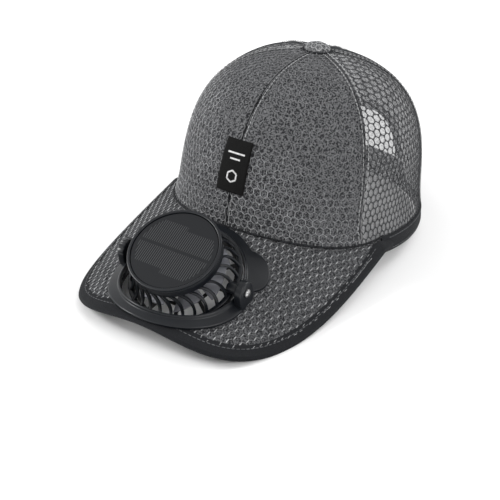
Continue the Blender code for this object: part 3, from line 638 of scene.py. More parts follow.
# %% Front gores
NET = {"pitch": 4.75 * MM, "step": 4.6 * MM}
SEAM_MARGIN = 0.7 * MM
GORES = (
    # name, middle azimuth and half width in degrees, backed with cloth
    {"name": "crown_front_left", "middle": 31.0, "half": 31.0, "backed": True},
    {"name": "crown_front_right", "middle": -31.0, "half": 31.0, "backed": True},
    {"name": "crown_side_left", "middle": 91.5, "half": 29.5, "backed": False},
    {"name": "crown_side_right", "middle": -91.5, "half": 29.5, "backed": False},
    {"name": "crown_back_left", "middle": 150.5, "half": 29.5, "backed": False},
    {"name": "crown_back_right", "middle": -150.5, "half": 29.5, "backed": False},
)


def thicken(piece, thickness):
    wall = piece.modifiers.new("wall", "SOLIDIFY")
    wall.thickness = thickness
    wall.offset = 0.0


for gore in [g for g in GORES if g["backed"]]:
    first = radians(gore["middle"] - gore["half"])
    wide = radians(2 * gore["half"])
    sheet = wrapped(22, 30, lambda u, v: crown_offset(first + wide * u, GORE_TOP * v, -0.9 * MM))
    backing = finish_piece(gore["name"] + "_cloth", sheet, backing_cloth, HAT, "hat", [gore["name"]])
    thicken(backing, 0.7 * MM)
    pattern, bend = gore_pattern(radians(gore["middle"]), radians(gore["half"]), SEAM_MARGIN)
    strands, _ = net(pattern, NET["pitch"], NET["step"], 0.5 * MM, 0.5 * MM, bend)
    finish_piece(gore["name"] + "_net", strands, light_yarn, HAT, "hat")
print("front gores done")

# %% [markdown]
# The side and back gores are the same net in darker yarn over a sheer ground instead of cloth.
# One can see through them, most of all where a single layer is in front of the light. The ground
# is a single sheet whose Alpha is below one.

# %% Side and back gores
for gore in [g for g in GORES if not g["backed"]]:
    first = radians(gore["middle"] - gore["half"])
    wide = radians(2 * gore["half"])
    ground = wrapped(22, 30, lambda u, v: crown_offset(first + wide * u, GORE_TOP * v, -0.9 * MM))
    finish_piece(gore["name"] + "_ground", ground, sheer_cloth, HAT, "hat")
    pattern, bend = gore_pattern(radians(gore["middle"]), radians(gore["half"]), SEAM_MARGIN)
    strands, _ = net(pattern, NET["pitch"], NET["step"], 0.52 * MM, 0.6 * MM,
                     lambda x, y, h: bend(x, y, h - 0.4 * MM))
    finish_piece(gore["name"] + "_net", strands, dark_yarn, HAT, "hat", [gore["name"]], levels=1)
print("open gores done")

# %% [markdown]
# Where two gores meet there is a groove, with a row of stitches on one side of it in front and on both sides
# elsewhere. The groove is a narrow strip drawn up along the seam, coloured with painted shade: near black at the front
# seam and mid dark elsewhere.
# Stitches are small threads placed end to end: an icosphere stretched along the seam is enough
# for something that small.

# %% Seams and stitches
SEAMS = (
    # name, azimuth in degrees, sides with a row of stitches, slot
    {"name": "seam_front", "azimuth": 0.0, "rows": (1,), "slot": "backed_net"},
    {"name": "seam_side_left", "azimuth": 62.0, "rows": (-1, 1), "slot": "backed_net"},
    {"name": "seam_side_right", "azimuth": -62.0, "rows": (-1, 1), "slot": "backed_net"},
    {"name": "seam_back_left", "azimuth": 121.0, "rows": (-1, 1), "slot": "open_net"},
    {"name": "seam_back_right", "azimuth": -121.0, "rows": (-1, 1), "slot": "open_net"},
    {"name": "seam_rear", "azimuth": 180.0, "rows": (-1, 1), "slot": "open_net"},
)
STITCH = {"length": 2.7 * MM, "width": 0.62 * MM, "height": 0.5 * MM, "pitch": 3.0 * MM, "aside": 2.0 * MM}


def beside_seam(azimuth, climb, distance, height):
    """A point at a distance to one side of a seam."""
    spot = crown_point(azimuth, climb)
    per_radian = (crown_point(azimuth + 0.01, climb) - spot).length / 0.01
    limit = 0.5 * radians(59)
    turn = min(max(distance / max(per_radian, 1 * MM), -limit), limit)
    return crown_offset(azimuth + turn, climb, height)


def stitched(built, track, samples=500):
    """Threads one after the other along a track, which gives a point and a normal."""
    spots = [track(i / samples) for i in range(samples + 1)]
    gone = 0.0
    due = STITCH["pitch"] / 2
    for (a, _), (b, normal) in zip(spots, spots[1:]):
        gone += (b - a).length
        if gone < due:
            continue
        due += STITCH["pitch"]
        thread_at(built, b, (b - a).normalized() * STITCH["length"], normal, STITCH["width"], STITCH["height"])
    bmesh.ops.recalc_face_normals(built, faces=built.faces)


def thread_at(built, middle, along, normal, width, height):
    """One thread with its middle at a point, as long as the vector along it."""
    aside = normal.cross(along).normalized()
    axes = (along / 2, aside * width / 2, along.cross(aside).normalized() * height / 2)
    shape = Matrix(axes).transposed().to_4x4()
    bmesh.ops.create_icosphere(built, subdivisions=1, radius=1.0, matrix=Matrix.Translation(middle) @ shape)


groove_corners = rounded([(-0.32, -0.7), (0.32, -0.7), (0.32, 0.12), (-0.32, 0.12)], 0.2, 2)
for seam in SEAMS:
    middle = radians(seam["azimuth"])

    def along_seam(u, a, b):
        return beside_seam(middle, GORE_TOP * u, a * MM, b * MM)

    # The strip's colour is painted shade in the groove: near black at the front seam, mid dark at the others.
    groove_shade = seam_shade_cloth if seam["azimuth"] == 0 else peak_cloth
    finish_piece(seam["name"], swept(60, groove_corners, along_seam), groove_shade, HAT, "hat")
    threads = bmesh.new()
    for side in seam["rows"]:
        def thread_track(t):
            climb = 0.01 + 0.95 * t
            return beside_seam(middle, climb, side * STITCH["aside"], 0.45 * MM), crown_normal(middle, climb)

        stitched(threads, thread_track)
    finish_piece(seam["name"] + "_stitches", threads, thread, HAT, "hat")
print("six seams sewn")

# %% [markdown]
# The crown is sewn to the peak, and the corner between the two lies in shade. That shade is painted: a thin near-black
# cord laid into the corner, at the height where the peak's face meets the crown.

# %% Seam between crown and peak
def corner_point(u, a, b):
    azimuth = radians(-74 + 148 * u)
    z = PEAK_SEAM_HEIGHT
    for _ in range(6):
        spot = crown_at(azimuth, z)
        z = peak_top(spot.x, spot.y)
    outward = Vector((sin(azimuth), -cos(azimuth), 0.0))
    return crown_at(azimuth, z) + outward * ((0.2 + a) * MM) + Vector((0.0, 0.0, (0.3 + b) * MM))


cord = [(0.75 * cos(pi * i / 5), 0.75 * sin(pi * i / 5)) for i in range(10)]
# The cord's near-black colour is painted shade in the corner between crown and peak.
finish_piece("seam_peak", swept(90, cord, corner_point), seam_shade_cloth, HAT, "hat")
print("crown sewn to the peak")

# %% [markdown]
# The button where the seams meet is a metal dome covered with the same net. The dome is spun, and
# a round patch of net is laid over it by measuring from its top.

# %% Button
BUTTON_RADIUS = 8.8 * MM
BUTTON_RISE = 4.6 * MM
BUTTON_PLACE = Vector((0.0, 4.0 * MM, CROWN_HEIGHT + GAP))


def dome_height(r):
    return BUTTON_RISE * sqrt(max(1 - (r / BUTTON_RADIUS) ** 2, 0.0))


def on_button(x, y, height):
    r = hypot(x, y)
    at = min(r, BUTTON_RADIUS * 0.985)
    spot = Vector((x, y, 0.0)) * (at / max(r, 1e-9))
    slope = BUTTON_RISE ** 2 * at / (BUTTON_RADIUS ** 2 * max(dome_height(at), 0.2 * MM))
    normal = Vector((x * slope / max(r, 1e-9), y * slope / max(r, 1e-9), 1.0)).normalized()
    return BUTTON_PLACE + spot + Vector((0.0, 0.0, dome_height(at))) + normal * height


dome = [(BUTTON_RADIUS * sin(pi / 2 * i / 10), BUTTON_RISE * cos(pi / 2 * i / 10) - 0.4 * MM) for i in range(11)]
base = [(BUTTON_RADIUS - 0.6 * MM, -0.9 * MM), (4.2 * MM, -0.7 * MM), (3.4 * MM, -2.4 * MM), (0.0, -2.4 * MM)]
button = spun(dome + base, 40)
bmesh.ops.translate(button, verts=button.verts, vec=BUTTON_PLACE)
finish_piece("top_button_dome", button, button_cloth, HAT, "hat", ["top_button"])
# A near-black ring at the foot of the dome paints the shade under the button's edge.
foot = [(BUTTON_RADIUS + 0.5 * MM + 0.8 * MM * cos(pi * i / 4), 0.8 * MM * sin(pi * i / 4)) for i in range(8)]
ring = spun(foot, 40)
bmesh.ops.translate(ring, verts=ring.verts, vec=BUTTON_PLACE - Vector((0.0, 0.0, 0.5 * MM)))
finish_piece("top_button_shade_ring", ring, seam_shade_cloth, HAT, "hat")
patch = [(BUTTON_RADIUS * cos(pi * i / 18), BUTTON_RADIUS * sin(pi * i / 18)) for i in range(36)]
button_net, _ = net(patch, 3.6 * MM, 3.4 * MM, 0.62 * MM, 0.6 * MM, on_button)
finish_piece("top_button_net", button_net, bright_yarn, HAT, "hat")
print("button at height", round(BUTTON_PLACE.z / MM, 1), "mm")

# %% [markdown]
# The peak is a board covered with the same cloth and net. Seen from above it is a wide rounded
# shape whose back edge follows the crown. The board is a grid between those two edges with the
# faces under the fan removed.

# %% Outline of the peak
PEAK_HALF_WIDTH = 84.3 * MM
PEAK_TIP_Y = -31.0 * MM
PEAK_LENGTH = 152.7 * MM
PEAK_CORNER_POWER = 3.15
PEAK_SEAM_GAP = 0.45 * MM
BINDING_WIDTH = 5.5 * MM
BINDING_TAIL = 12.0 * MM
EDGE_STATIONS = 120
TAPE_FRONT = 10.0 * MM
TAPE_TUCK = 1.2 * MM
TAPE_SIDES = {-1: 4.0 * MM, 1: 5.5 * MM}


def edge_curve(turn):
    """The peak's outer edge from above; turn runs from -90 to 90 degrees."""
    power = 2 / PEAK_CORNER_POWER
    side = 1 if turn > 0 else -1
    return Vector((PEAK_HALF_WIDTH * side * abs(sin(turn)) ** power, PEAK_TIP_Y - PEAK_LENGTH * abs(cos(turn)) ** power))


def even_points(curve, start, end, count):
    """Points of a curve at equal steps of its length."""
    dense = [curve(start + (end - start) * i / 2000) for i in range(2001)]
    lengths = [0.0]
    for a, b in zip(dense, dense[1:]):
        lengths.append(lengths[-1] + (b - a).length)
    points = []
    index = 0
    for k in range(count):
        wanted = lengths[-1] * k / (count - 1)
        while index < 1999 and lengths[index + 1] < wanted:
            index += 1
        part = (wanted - lengths[index]) / (lengths[index + 1] - lengths[index])
        points.append(dense[index].lerp(dense[index + 1], part))
    return points


def edge_stations():
    """Points of the edge with the direction inwards, and a short straight tail past each end."""
    points = even_points(edge_curve, -pi / 2, pi / 2, EDGE_STATIONS + 1)
    tail = [Vector((PEAK_HALF_WIDTH, PEAK_TIP_Y + BINDING_TAIL * i / 4)) for i in (1, 2, 3, 4)]
    points = [Vector((-p.x, p.y)) for p in reversed(tail)] + points + tail
    stations = []
    for i, point in enumerate(points):
        along = points[min(i + 1, len(points) - 1)] - points[max(i - 1, 0)]
        stations.append((point, Vector((-along.y, along.x)).normalized()))
    return stations


def edge_top(x, y):
    """Height of the tape, level along its two tails."""
    return peak_top(x, min(y, PEAK_TIP_Y))


def crown_azimuth(point, level):
    return atan2(point.x / reach("side", level), -point.y / reach("front", level))


def binding_inset(point, inward):
    """Width of the tape at a station, less where the crown's wall is near."""
    width = BINDING_WIDTH
    while width > 0.5 * MM:
        spot = point + inward * width
        level = max(edge_top(spot.x, spot.y) - PEAK_THICKNESS, 0.0)
        azimuth = crown_azimuth(spot, level)
        away = (spot - crown_at(azimuth, level).to_2d()).dot(Vector((sin(azimuth), -cos(azimuth))))
        if away >= PEAK_SEAM_GAP + 0.7 * MM:
            break
        width -= 0.1 * MM
    return width


STATIONS = [(point, inward, binding_inset(point, inward)) for point, inward in edge_stations()]
WHOLE = [row for row in STATIONS if row[2] > BINDING_WIDTH - 0.05 * MM]


def seam_point(part):
    """The peak's back edge along the crown, part 0 at the wearer's right end and 1 at the left."""
    ends = [crown_azimuth(row[0], peak_top(*row[0])) for row in (WHOLE[0], WHOLE[-1])]
    azimuth = ends[0] + (ends[1] - ends[0]) * part
    level = hem_height(azimuth)
    outward = Vector((sin(azimuth) / reach("side", level), -cos(azimuth) / reach("front", level))).normalized()
    return crown_at(azimuth, level).to_2d() + outward * PEAK_SEAM_GAP


def tape_width(inward):
    """The tape shows wide in front and narrower along the sides, most of all the wearer's right."""
    side = TAPE_SIDES[1 if inward.x < 0 else -1]
    return side + (TAPE_FRONT - side) * (1.0 - abs(inward.x)) ** 0.8


def board_point(u, v, under=2.4 * MM):
    """From the seam at v 0 to a line just under the tape at v 1."""
    place = u * (len(WHOLE) - 1)
    index = min(int(place), len(WHOLE) - 2)
    low, high = [row[0] + row[1] * (tape_width(row[1]) - under) for row in WHOLE[index:index + 2]]
    return seam_point(u).lerp(low.lerp(high, place - index), v)


def on_peak(x, y, height):
    slope = Vector((x / PEAK_BEND, -tan(PEAK_PITCH), 1.0)).normalized()
    return Vector((x, y, peak_top(x, y))) + slope * height


print("the tape keeps its full width at", len(WHOLE), "of", len(STATIONS), "stations")

# %% [markdown]
# The hole for the fan is made in the grid: faces whose middle is in the hole go, and the rim's
# points are drawn onto the circle. The rim is covered by the base plate above and a ring below.

# %% Board of the peak
PEAK_HOLE_RADIUS = 38.6 * MM
PLATE_RADIUS = 45.5 * MM


def from_hole(spot):
    """The distance from the middle of the fan's hole, measured on the slope."""
    return hypot(spot.x, (spot.y - PIVOT.y) / cos(PEAK_PITCH))


board = wrapped(64, 30, lambda u, v: board_point(u, v, 1.0 * MM).to_3d())
gone = [face for face in board.faces if from_hole(face.calc_center_median()) < PEAK_HOLE_RADIUS]
bmesh.ops.delete(board, geom=gone, context="FACES")
for vert in board.verts:
    near = from_hole(vert.co)
    if near < PEAK_HOLE_RADIUS or (vert.is_boundary and near < PEAK_HOLE_RADIUS + 3 * MM):
        aside = Vector((vert.co.x, vert.co.y - PIVOT.y)) * (PEAK_HOLE_RADIUS / near)
        vert.co = (aside.x, aside.y + PIVOT.y, 0.0)
for vert in board.verts:
    vert.co = on_peak(vert.co.x, vert.co.y, -1.6 * MM)
bmesh.ops.recalc_face_normals(board, faces=board.faces)
board_piece = finish_piece("peak_board", board, peak_cloth, HAT, "hat", ["peak"])
thicken(board_piece, 2.4 * MM)

print("board of the peak with", len(board_piece.data.polygons), "faces")

# %% [markdown]
# The net of the peak is the same hexagons a little smaller. Its upright strands are double and catch the light; each
# gets a short pale thread on top, a painted highlight standing for that light.

# %% Net of the peak
PEAK_NET = {"pitch": 4.25 * MM, "step": 4.5 * MM}
count = 60
outline = [tuple(board_point(i / count, 1.0)) for i in range(count)]
outline += [tuple(board_point(1.0 - i / count, 0.0)) for i in range(count)]
peak_net, uprights = net(outline, PEAK_NET["pitch"], PEAK_NET["step"], 0.5 * MM, 0.55 * MM,
                         lambda x, y, h: on_peak(x, y, h - 0.15 * MM),
                         keep=lambda spot: from_hole(spot) > PLATE_RADIUS - 4 * MM)
finish_piece("peak_net", peak_net, dim_yarn, HAT, "hat")
# Painted highlight: pale dashes on the upright strands where the light catches them.
dashes = bmesh.new()
for a, b in uprights:
    low, high = on_peak(a.x, a.y, 0.06 * MM), on_peak(b.x, b.y, 0.06 * MM)
    thread_at(dashes, (low + high) / 2, (high - low) * 1.15, Vector((0, 0, 1)), 0.9 * MM, 0.24 * MM)
bmesh.ops.recalc_face_normals(dashes, faces=dashes.faces)
finish_piece("peak_net_painted_highlights", dashes, bright_yarn, HAT, "hat")
print("net of the peak with", len(uprights), "double strands")

# %% [markdown]
# A tape is folded over the peak's edge and stitched down with one row. Its two ends are tucked
# against the crown. Its section is a flat loop
# with a round outer fold, drawn along the edge.

# %% Tape of the peak
def tape_point(u, a, b):
    """Where a is the part of the width from the fold and b the height in millimetres."""
    point, inward, width = STATIONS[round(u * (len(STATIONS) - 1))]
    tail = 1 - smooth_step(PEAK_TIP_Y - point.y, 0.0, 25.0 * MM)
    spot = point + inward * (a * (tape_width(inward) * (1 - tail) + (width + TAPE_TUCK) * tail))
    return Vector((spot.x, spot.y, edge_top(spot.x, spot.y) + b * MM))


tape_corners = rounded([(1.0, -2.9), (1.0, 0.22), (0.05, 0.22), (-0.05, -1.4), (0.05, -2.9)], 0.05, 3)
binding = swept(len(STATIONS) - 1, tape_corners, tape_point)
finish_piece("peak_tape", binding, tape, HAT, "hat", ["peak_binding"])


def tape_track(t):
    index = 6 + t * (len(STATIONS) - 13)
    low = tape_point(int(index) / (len(STATIONS) - 1), 0.66, 0.25)
    high = tape_point((int(index) + 1) / (len(STATIONS) - 1), 0.66, 0.25)
    return low.lerp(high, index - int(index)), Vector((0, 0, 1))


threads = bmesh.new()
stitched(threads, tape_track, 1600)
finish_piece("peak_tape_stitches", threads, dark_thread, HAT, "hat")
print("tape of the peak sewn on")

# %% [markdown]
# The hem of the sides and back is bound with the same tape, which stands on the table at the
# rear. It laps a little over the net, and under the rear opening it widens into the strap. The
# section is a thin upright loop.

# %% Tape of the hem
BAND_START = 73.0
LAP = 3.2 * MM


def tape_top(azimuth):
    if from_rear(azimuth) > 90:
        return hem_height(azimuth) + LAP
    return band_top(azimuth) + LAP * smooth_step(from_rear(azimuth), 40.0, 90.0)


def hem_point(u, a, b):
    """Where a is the distance outwards in millimetres and b the part of the height."""
    azimuth = radians(BAND_START + (360 - 2 * BAND_START) * u)
    return crown_at(azimuth, tape_top(azimuth) * b) + level_normal(azimuth) * (a * MM)


def level_normal(azimuth):
    """The level direction outwards at the hem."""
    across = crown_at(azimuth + 0.002, 0.0) - crown_at(azimuth - 0.002, 0.0)
    return Vector((across.y, -across.x, 0.0)).normalized()


hem_corners = rounded([(0.75, 0.0), (0.75, 0.33), (0.75, 0.66), (0.75, 1.0), (-1.95, 1.0), (-1.95, 0.66),
                       (-1.95, 0.33), (-1.95, 0.0)], 0.06, 3)
hem = swept(130, hem_corners, hem_point)
finish_piece("hem_tape", hem, tape, HAT, "hat", ["hem_binding"])
threads = bmesh.new()
for level in (0.14, 0.86):
    stitched(threads, lambda t: (hem_point(0.02 + 0.96 * t, 0.8, level),
                                 level_normal(radians(BAND_START + (360 - 2 * BAND_START) * t))), 1600)
finish_piece("hem_tape_stitches", threads, dark_thread, HAT, "hat")
print("tape of the hem sewn on")

# %% [markdown]
# Two lighter patches show through the side net in the photo where a line of sight leaves by the
# back: that is the rear opening, above its strap. Its arched edge is bound with the same tape.
# The section is drawn along the edge, square to it on the dome.

# %% Tape of the rear opening
def arch_azimuth(u):
    """Even steps round the arch, closer together where it stands steep."""
    return pi - radians(REAR_OPENING_HALF) * 0.999 * cos(pi * u)


def arch_point(u, a, b):
    """Where a is the distance from the edge into the net and b the height, in millimetres."""
    edge = crown_point(arch_azimuth(u), 0.0)
    along = crown_point(arch_azimuth(u + 0.004), 0.0) - crown_point(arch_azimuth(u - 0.004), 0.0)
    normal = crown_normal(pi, 0.0) if abs(u - 0.5) < 0.001 else normal_at(edge)
    inward = normal.cross(along).normalized()
    return edge + inward * (a * MM) + normal * (b * MM)


def normal_at(spot):
    """The dome's normal at the azimuth and height of a point of the back."""
    azimuth = atan2(spot.x / reach("side", spot.z), -(spot.y - CROWN_TIP_BACK * (spot.z / CROWN_HEIGHT) ** 2)
                    / reach("back", spot.z))
    across = crown_at(azimuth + 0.002, spot.z) - crown_at(azimuth - 0.002, spot.z)
    up = crown_at(azimuth, spot.z + 0.2 * MM) - crown_at(azimuth, spot.z - 0.2 * MM)
    return across.cross(up).normalized()


arch_corners = rounded([(-0.9, -1.9), (5.0, -1.9), (5.0, 0.7), (-0.9, 0.7)], 0.5, 3)
arch = swept(70, arch_corners, lambda u, a, b: arch_point(0.01 + 0.98 * u, a, b))
finish_piece("rear_opening_tape", arch, tape, HAT, "hat")
threads = bmesh.new()
stitched(threads, lambda t: (arch_point(0.03 + 0.94 * t, 3.9, 0.75), normal_at(arch_point(0.03 + 0.94 * t, 0.0, 0.0))))
finish_piece("rear_opening_stitches", threads, dark_thread, HAT, "hat")
print("rear opening", round((REAR_OPENING_TOP - STRAP_HEIGHT) / MM, 1), "mm high")

# %% [markdown]
# A woven patch sits over the front seam. It carries only a plain mark: a small hexagon and two
# short dashes, raised like satin stitch.

# %% Label
LABEL = {"half": 9.8 * MM, "low": 40.5 * MM, "high": 72.5 * MM, "thick": 1.0 * MM}


def front_climb(z):
    low = hem_height(0.0)
    return asin((z - low) / (CROWN_HEIGHT - low)) / (pi / 2)


def on_label(x, z, height):
    return crown_offset(x / CROWN_SIDES["side"]["reach"], front_climb(z), GAP + 0.15 * MM + height)


label_body = wrapped(40, 14, lambda u, v: on_label(
    LABEL["half"] * (2 * v - 1), LABEL["low"] + (LABEL["high"] - LABEL["low"]) * u, LABEL["thick"] / 2))
label = finish_piece("label_patch", label_body, label_weave, HAT, "hat", ["front_label"])
thicken(label, LABEL["thick"])

MARKS = (
    # x and z of both ends of each bar of the mark, in millimetres
    [(-6.2, 64.5, 6.2, 64.5), (-3.6, 61.0, 3.6, 61.0)]
    + [(3.6 * sin(pi * i / 3), 50.5 + 3.6 * cos(pi * i / 3), 3.6 * sin(pi * (i + 1) / 3), 50.5 + 3.6 * cos(pi * (i + 1) / 3))
       for i in range(6)]
)
bar_corners = rounded([(-0.5, 0.8), (0.5, 0.8), (0.5, 1.25), (-0.5, 1.25)], 0.2, 2)
bars = []
for x0, z0, x1, z1 in MARKS:
    along = Vector((x1 - x0, z1 - z0))
    aside = Vector((-along.y, along.x)).normalized()

    def bar_point(u, a, b):
        spot = Vector((x0, z0)) + along * u + aside * a
        return on_label(spot.x * MM, spot.y * MM, b * MM)

    bars.append(swept(6, bar_corners, bar_point))
finish_piece("label_mark", joined(bars), mark_thread, HAT, "hat")
print("label with", len(bars), "bars")

# %% [markdown]
# The fan sits on a moulded plate. The plate is a ring with one round lobe, lies on the slope of
# the peak and has a raised lip round its hole. Its section changes with the angle only in how far
# out it reaches, so it is one section drawn round the hole.

# %% Base plate
PLATE_THICKNESS = 2.0 * MM
PLATE_HOLE_RADIUS = 38.0 * MM
LOBE = {"x": 31.5 * MM, "y": 23.2 * MM, "radius": 15.0 * MM}
SLOPE_NORMAL = Vector((0.0, -sin(PEAK_PITCH), cos(PEAK_PITCH)))
SLOPE_UP = Vector((0.0, cos(PEAK_PITCH), sin(PEAK_PITCH)))


def above_peak(u, v, distance):
    """A point over the slope: u along X, v up the slope from the hinge."""
    x, y = u, PIVOT.y + v * cos(PEAK_PITCH)
    return Vector((x, y, peak_top(x, y))) + SLOPE_NORMAL * distance


def plate_reach(angle):
    centre = hypot(LOBE["x"], LOBE["y"])
    turn = angle - atan2(LOBE["y"], LOBE["x"])
    across = centre * sin(turn)
    if abs(across) >= LOBE["radius"] or cos(turn) < 0:
        return PLATE_RADIUS
    return max(PLATE_RADIUS, centre * cos(turn) + sqrt(LOBE["radius"] ** 2 - across ** 2))


def plate_point(u, v):
    angle = 2 * pi * u
    hole = PLATE_HOLE_RADIUS / MM
    edge = plate_reach(angle) / MM
    ring = rounded([(hole, 0.0), (hole, 3.8), (hole + 1.5, 3.8), (hole + 1.8, 2.0), (edge, 2.0), (edge, 0.0)], 0.6, 3)
    r, h = ring[round(v * len(ring)) % len(ring)]
    return above_peak(r * MM * cos(angle), r * MM * sin(angle), GAP + h * MM)


plate = wrapped(180, 24, plate_point)
print("plate with", len(plate.faces), "faces")

# %% [markdown]
# Two ears stand on the plate and hold the pod between them. Each is a disc whose lower half is
# pulled down to the plate, made thick and rounded with the bevel operator.

# %% Ears
EAR = {"inner": 40.8 * MM, "thick": 4.8 * MM, "radius": 7.0 * MM}


def ear(side, notches):
    built = bmesh.new()
    bmesh.ops.create_circle(built, cap_ends=True, segments=64, radius=EAR["radius"])
    for vert in built.verts:
        turn = atan2(vert.co.y, vert.co.x)
        if notches and vert.co.y > 0:
            vert.co *= 1.0 + 0.055 * cos(turn * notches)
    pushed = bmesh.ops.extrude_face_region(built, geom=built.faces[:])["geom"]
    far = [item for item in pushed if isinstance(item, bmesh.types.BMVert)]
    bmesh.ops.translate(built, verts=far, vec=(0, 0, EAR["thick"]))
    bmesh.ops.recalc_face_normals(built, faces=built.faces)
    rims = [edge for edge in built.edges if edge.calc_face_angle(0.0) > radians(60)]
    bmesh.ops.bevel(built, geom=rims, offset=0.7 * MM, offset_type="OFFSET", segments=3, profile=0.5,
                    affect="EDGES", clamp_overlap=True, material=-1)
    for vert in built.verts:
        v, w, depth = vert.co.x, vert.co.y, vert.co.z
        x = side * (EAR["inner"] + depth)
        if w < 0:
            v *= 1.0 + 0.14 * (-w / EAR["radius"])
            foot = (above_peak(x, v, GAP + PLATE_THICKNESS / 2) - PIVOT).dot(SLOPE_NORMAL)
            w = foot * min(-w / (EAR["radius"] * 0.55), 1.0)
        vert.co = PIVOT + Vector((x, 0, 0)) + SLOPE_UP * v + SLOPE_NORMAL * w
    bmesh.ops.recalc_face_normals(built, faces=built.faces)
    return built


base_piece = joined([plate, ear(1, 0), ear(-1, 14)])
finish_piece("base_plate_moulding", base_piece, black_plastic, HAT, "hat", ["fan_base_plate"])
print("two ears on the plate")

# %% [markdown]
# From here on the pieces are made in the pod's own frame, with Z along the fan's axis. The
# housing is a shallow cap with a skirt, a lower ring and swirled ribs between the two. Round
# parts are spun from a rounded profile.

# %% Housing
CAP_RADIUS = 29.0 * MM
CAP_TOP = 19.2 * MM
SKIRT_BOTTOM = 13.0 * MM
RING = {"inner": 33.2 * MM, "outer": 36.2 * MM, "top": -2.8 * MM, "bottom": -8.0 * MM}
RIB_COUNT = 28
RIB_PATH = (
    # radius and height of the rib's middle line, and how far it has swirled round
    {"radius": 27.2 * MM, "height": 14.0 * MM, "turn": radians(0.0)},
    {"radius": 28.6 * MM, "height": 8.6 * MM, "turn": radians(10.0)},
    {"radius": 31.4 * MM, "height": 2.5 * MM, "turn": radians(13.0)},
    {"radius": 34.7 * MM, "height": -4.0 * MM, "turn": radians(9.0)},
)


def through(values, u):
    """A smooth curve through four evenly spaced values."""
    a, b, c, d = values
    t = 3 * u
    return (a * (1 - t) * (2 - t) * (3 - t) / 6 + b * t * (2 - t) * (3 - t) / 2
            - c * t * (1 - t) * (3 - t) / 2 + d * t * (1 - t) * (2 - t) / 6)


def rib(angle):
    corners = rounded([(-0.95, -1.0), (0.95, -1.0), (0.95, 1.0), (-0.95, 1.0)], 0.5, 2)

    def place(u, a, b):
        radius, height, swirl = [through([row[key] for row in RIB_PATH], u) for key in ("radius", "height", "turn")]
        turn = angle + swirl
        outward = Vector((cos(turn), sin(turn), 0.0))
        aside = Vector((-sin(turn), cos(turn), 0.0))
        return outward * (radius + b * MM) + aside * (a * MM) + Vector((0.0, 0.0, height))

    return swept(12, corners, place)


cap = [(0.0, CAP_TOP - 1.6 * MM), (0.0, CAP_TOP), (CAP_RADIUS, CAP_TOP), (CAP_RADIUS - 0.6 * MM, SKIRT_BOTTOM),
       (CAP_RADIUS - 2.6 * MM, SKIRT_BOTTOM), (CAP_RADIUS - 2.0 * MM, CAP_TOP - 1.6 * MM)]
cap_profile = [cap[0], cap[1]] + rounded(cap, 0.6 * MM)[8:]
lower = [(RING["inner"], RING["bottom"]), (RING["outer"] - 0.8 * MM, RING["bottom"]), (RING["outer"], -4.0 * MM),
         (RING["outer"], RING["top"]), (RING["inner"], RING["top"])]
housing = [spun(cap_profile), spun(rounded(lower, 0.6 * MM))]
housing += [rib(2 * pi * (k + 0.5) / RIB_COUNT) for k in range(RIB_COUNT)]
for side in (-1, 1):
    boss = bmesh.new()
    bmesh.ops.create_cone(boss, cap_ends=True, segments=32, radius1=3.6 * MM, radius2=3.6 * MM, depth=7.5 * MM)
    rims = [edge for edge in boss.edges if edge.calc_face_angle(0.0) > radians(60)]
    bmesh.ops.bevel(boss, geom=rims, offset=0.5 * MM, offset_type="OFFSET", segments=3, profile=0.5,
                    affect="EDGES", clamp_overlap=True, material=-1)
    bmesh.ops.transform(boss, matrix=Matrix.Translation((side * 36.75 * MM, 0, 0)) @ Matrix.Rotation(pi / 2, 4, "Y"),
                        verts=boss.verts)
    housing.append(boss)
finish_piece("housing_moulding", joined(housing), black_plastic, POD, "fan_pod", ["fan_housing"])
print("housing with", RIB_COUNT, "ribs")

# %% [markdown]
# The solar disc lies in a thin raised ring on the cap.

# %% Bezel and solar disc
BEZEL = {"inner": 27.5 * MM, "outer": 29.3 * MM, "top": 21.6 * MM}
DISC_TOP = 20.9 * MM
low = CAP_TOP + GAP
bezel = [(BEZEL["inner"], low), (BEZEL["outer"], low), (BEZEL["outer"], BEZEL["top"]), (BEZEL["inner"], BEZEL["top"])]
finish_piece("bezel_ring", spun(rounded(bezel, 0.45 * MM), 96), black_plastic, POD, "fan_pod",
             ["solar_bezel"])
rim = BEZEL["inner"] - 0.2 * MM
disc = [(0.0, low), (rim, low), (rim, DISC_TOP - 0.4 * MM), (rim - 0.4 * MM, DISC_TOP), (0.0, DISC_TOP)]
finish_piece("solar_disc", spun(disc, 96), solar, POD, "fan_pod", ["solar_panel"])
print("solar disc of", round(2 * rim / MM, 1), "mm")

# %% [markdown]
# The rotor has a round hub and seven broad twisted blades. A blade is a thin lens-shaped section
# drawn outwards and bent round the axis, where the chord grows and the pitch falls with the radius.

# %% Rotor
BLADE_COUNT = 7
BLADE_SECTIONS = (
    # radius, half chord and pitch of the blade
    {"radius": 7.0 * MM, "half_chord": 3.2 * MM, "pitch": radians(45)},
    {"radius": 18.0 * MM, "half_chord": 7.6 * MM, "pitch": radians(30)},
    {"radius": 28.4 * MM, "half_chord": 11.6 * MM, "pitch": radians(20)},
)


def blade(angle):
    lens = [(cos(2 * pi * i / 14), 0.7 * sin(2 * pi * i / 14)) for i in range(14)]

    def place(u, a, b):
        spot = u * (len(BLADE_SECTIONS) - 1)
        index = min(int(spot), len(BLADE_SECTIONS) - 2)
        low, high = BLADE_SECTIONS[index:index + 2]
        radius, half, pitch = [low[key] + (high[key] - low[key]) * (spot - index) for key in ("radius", "half_chord", "pitch")]
        lift = b * MM + 0.5 * MM * (1 - a * a)
        turn = angle + (half * a * cos(pitch) - lift * sin(pitch)) / radius
        return Vector((radius * cos(turn), radius * sin(turn), half * a * sin(pitch) + lift * cos(pitch)))

    return swept(12, lens, place)


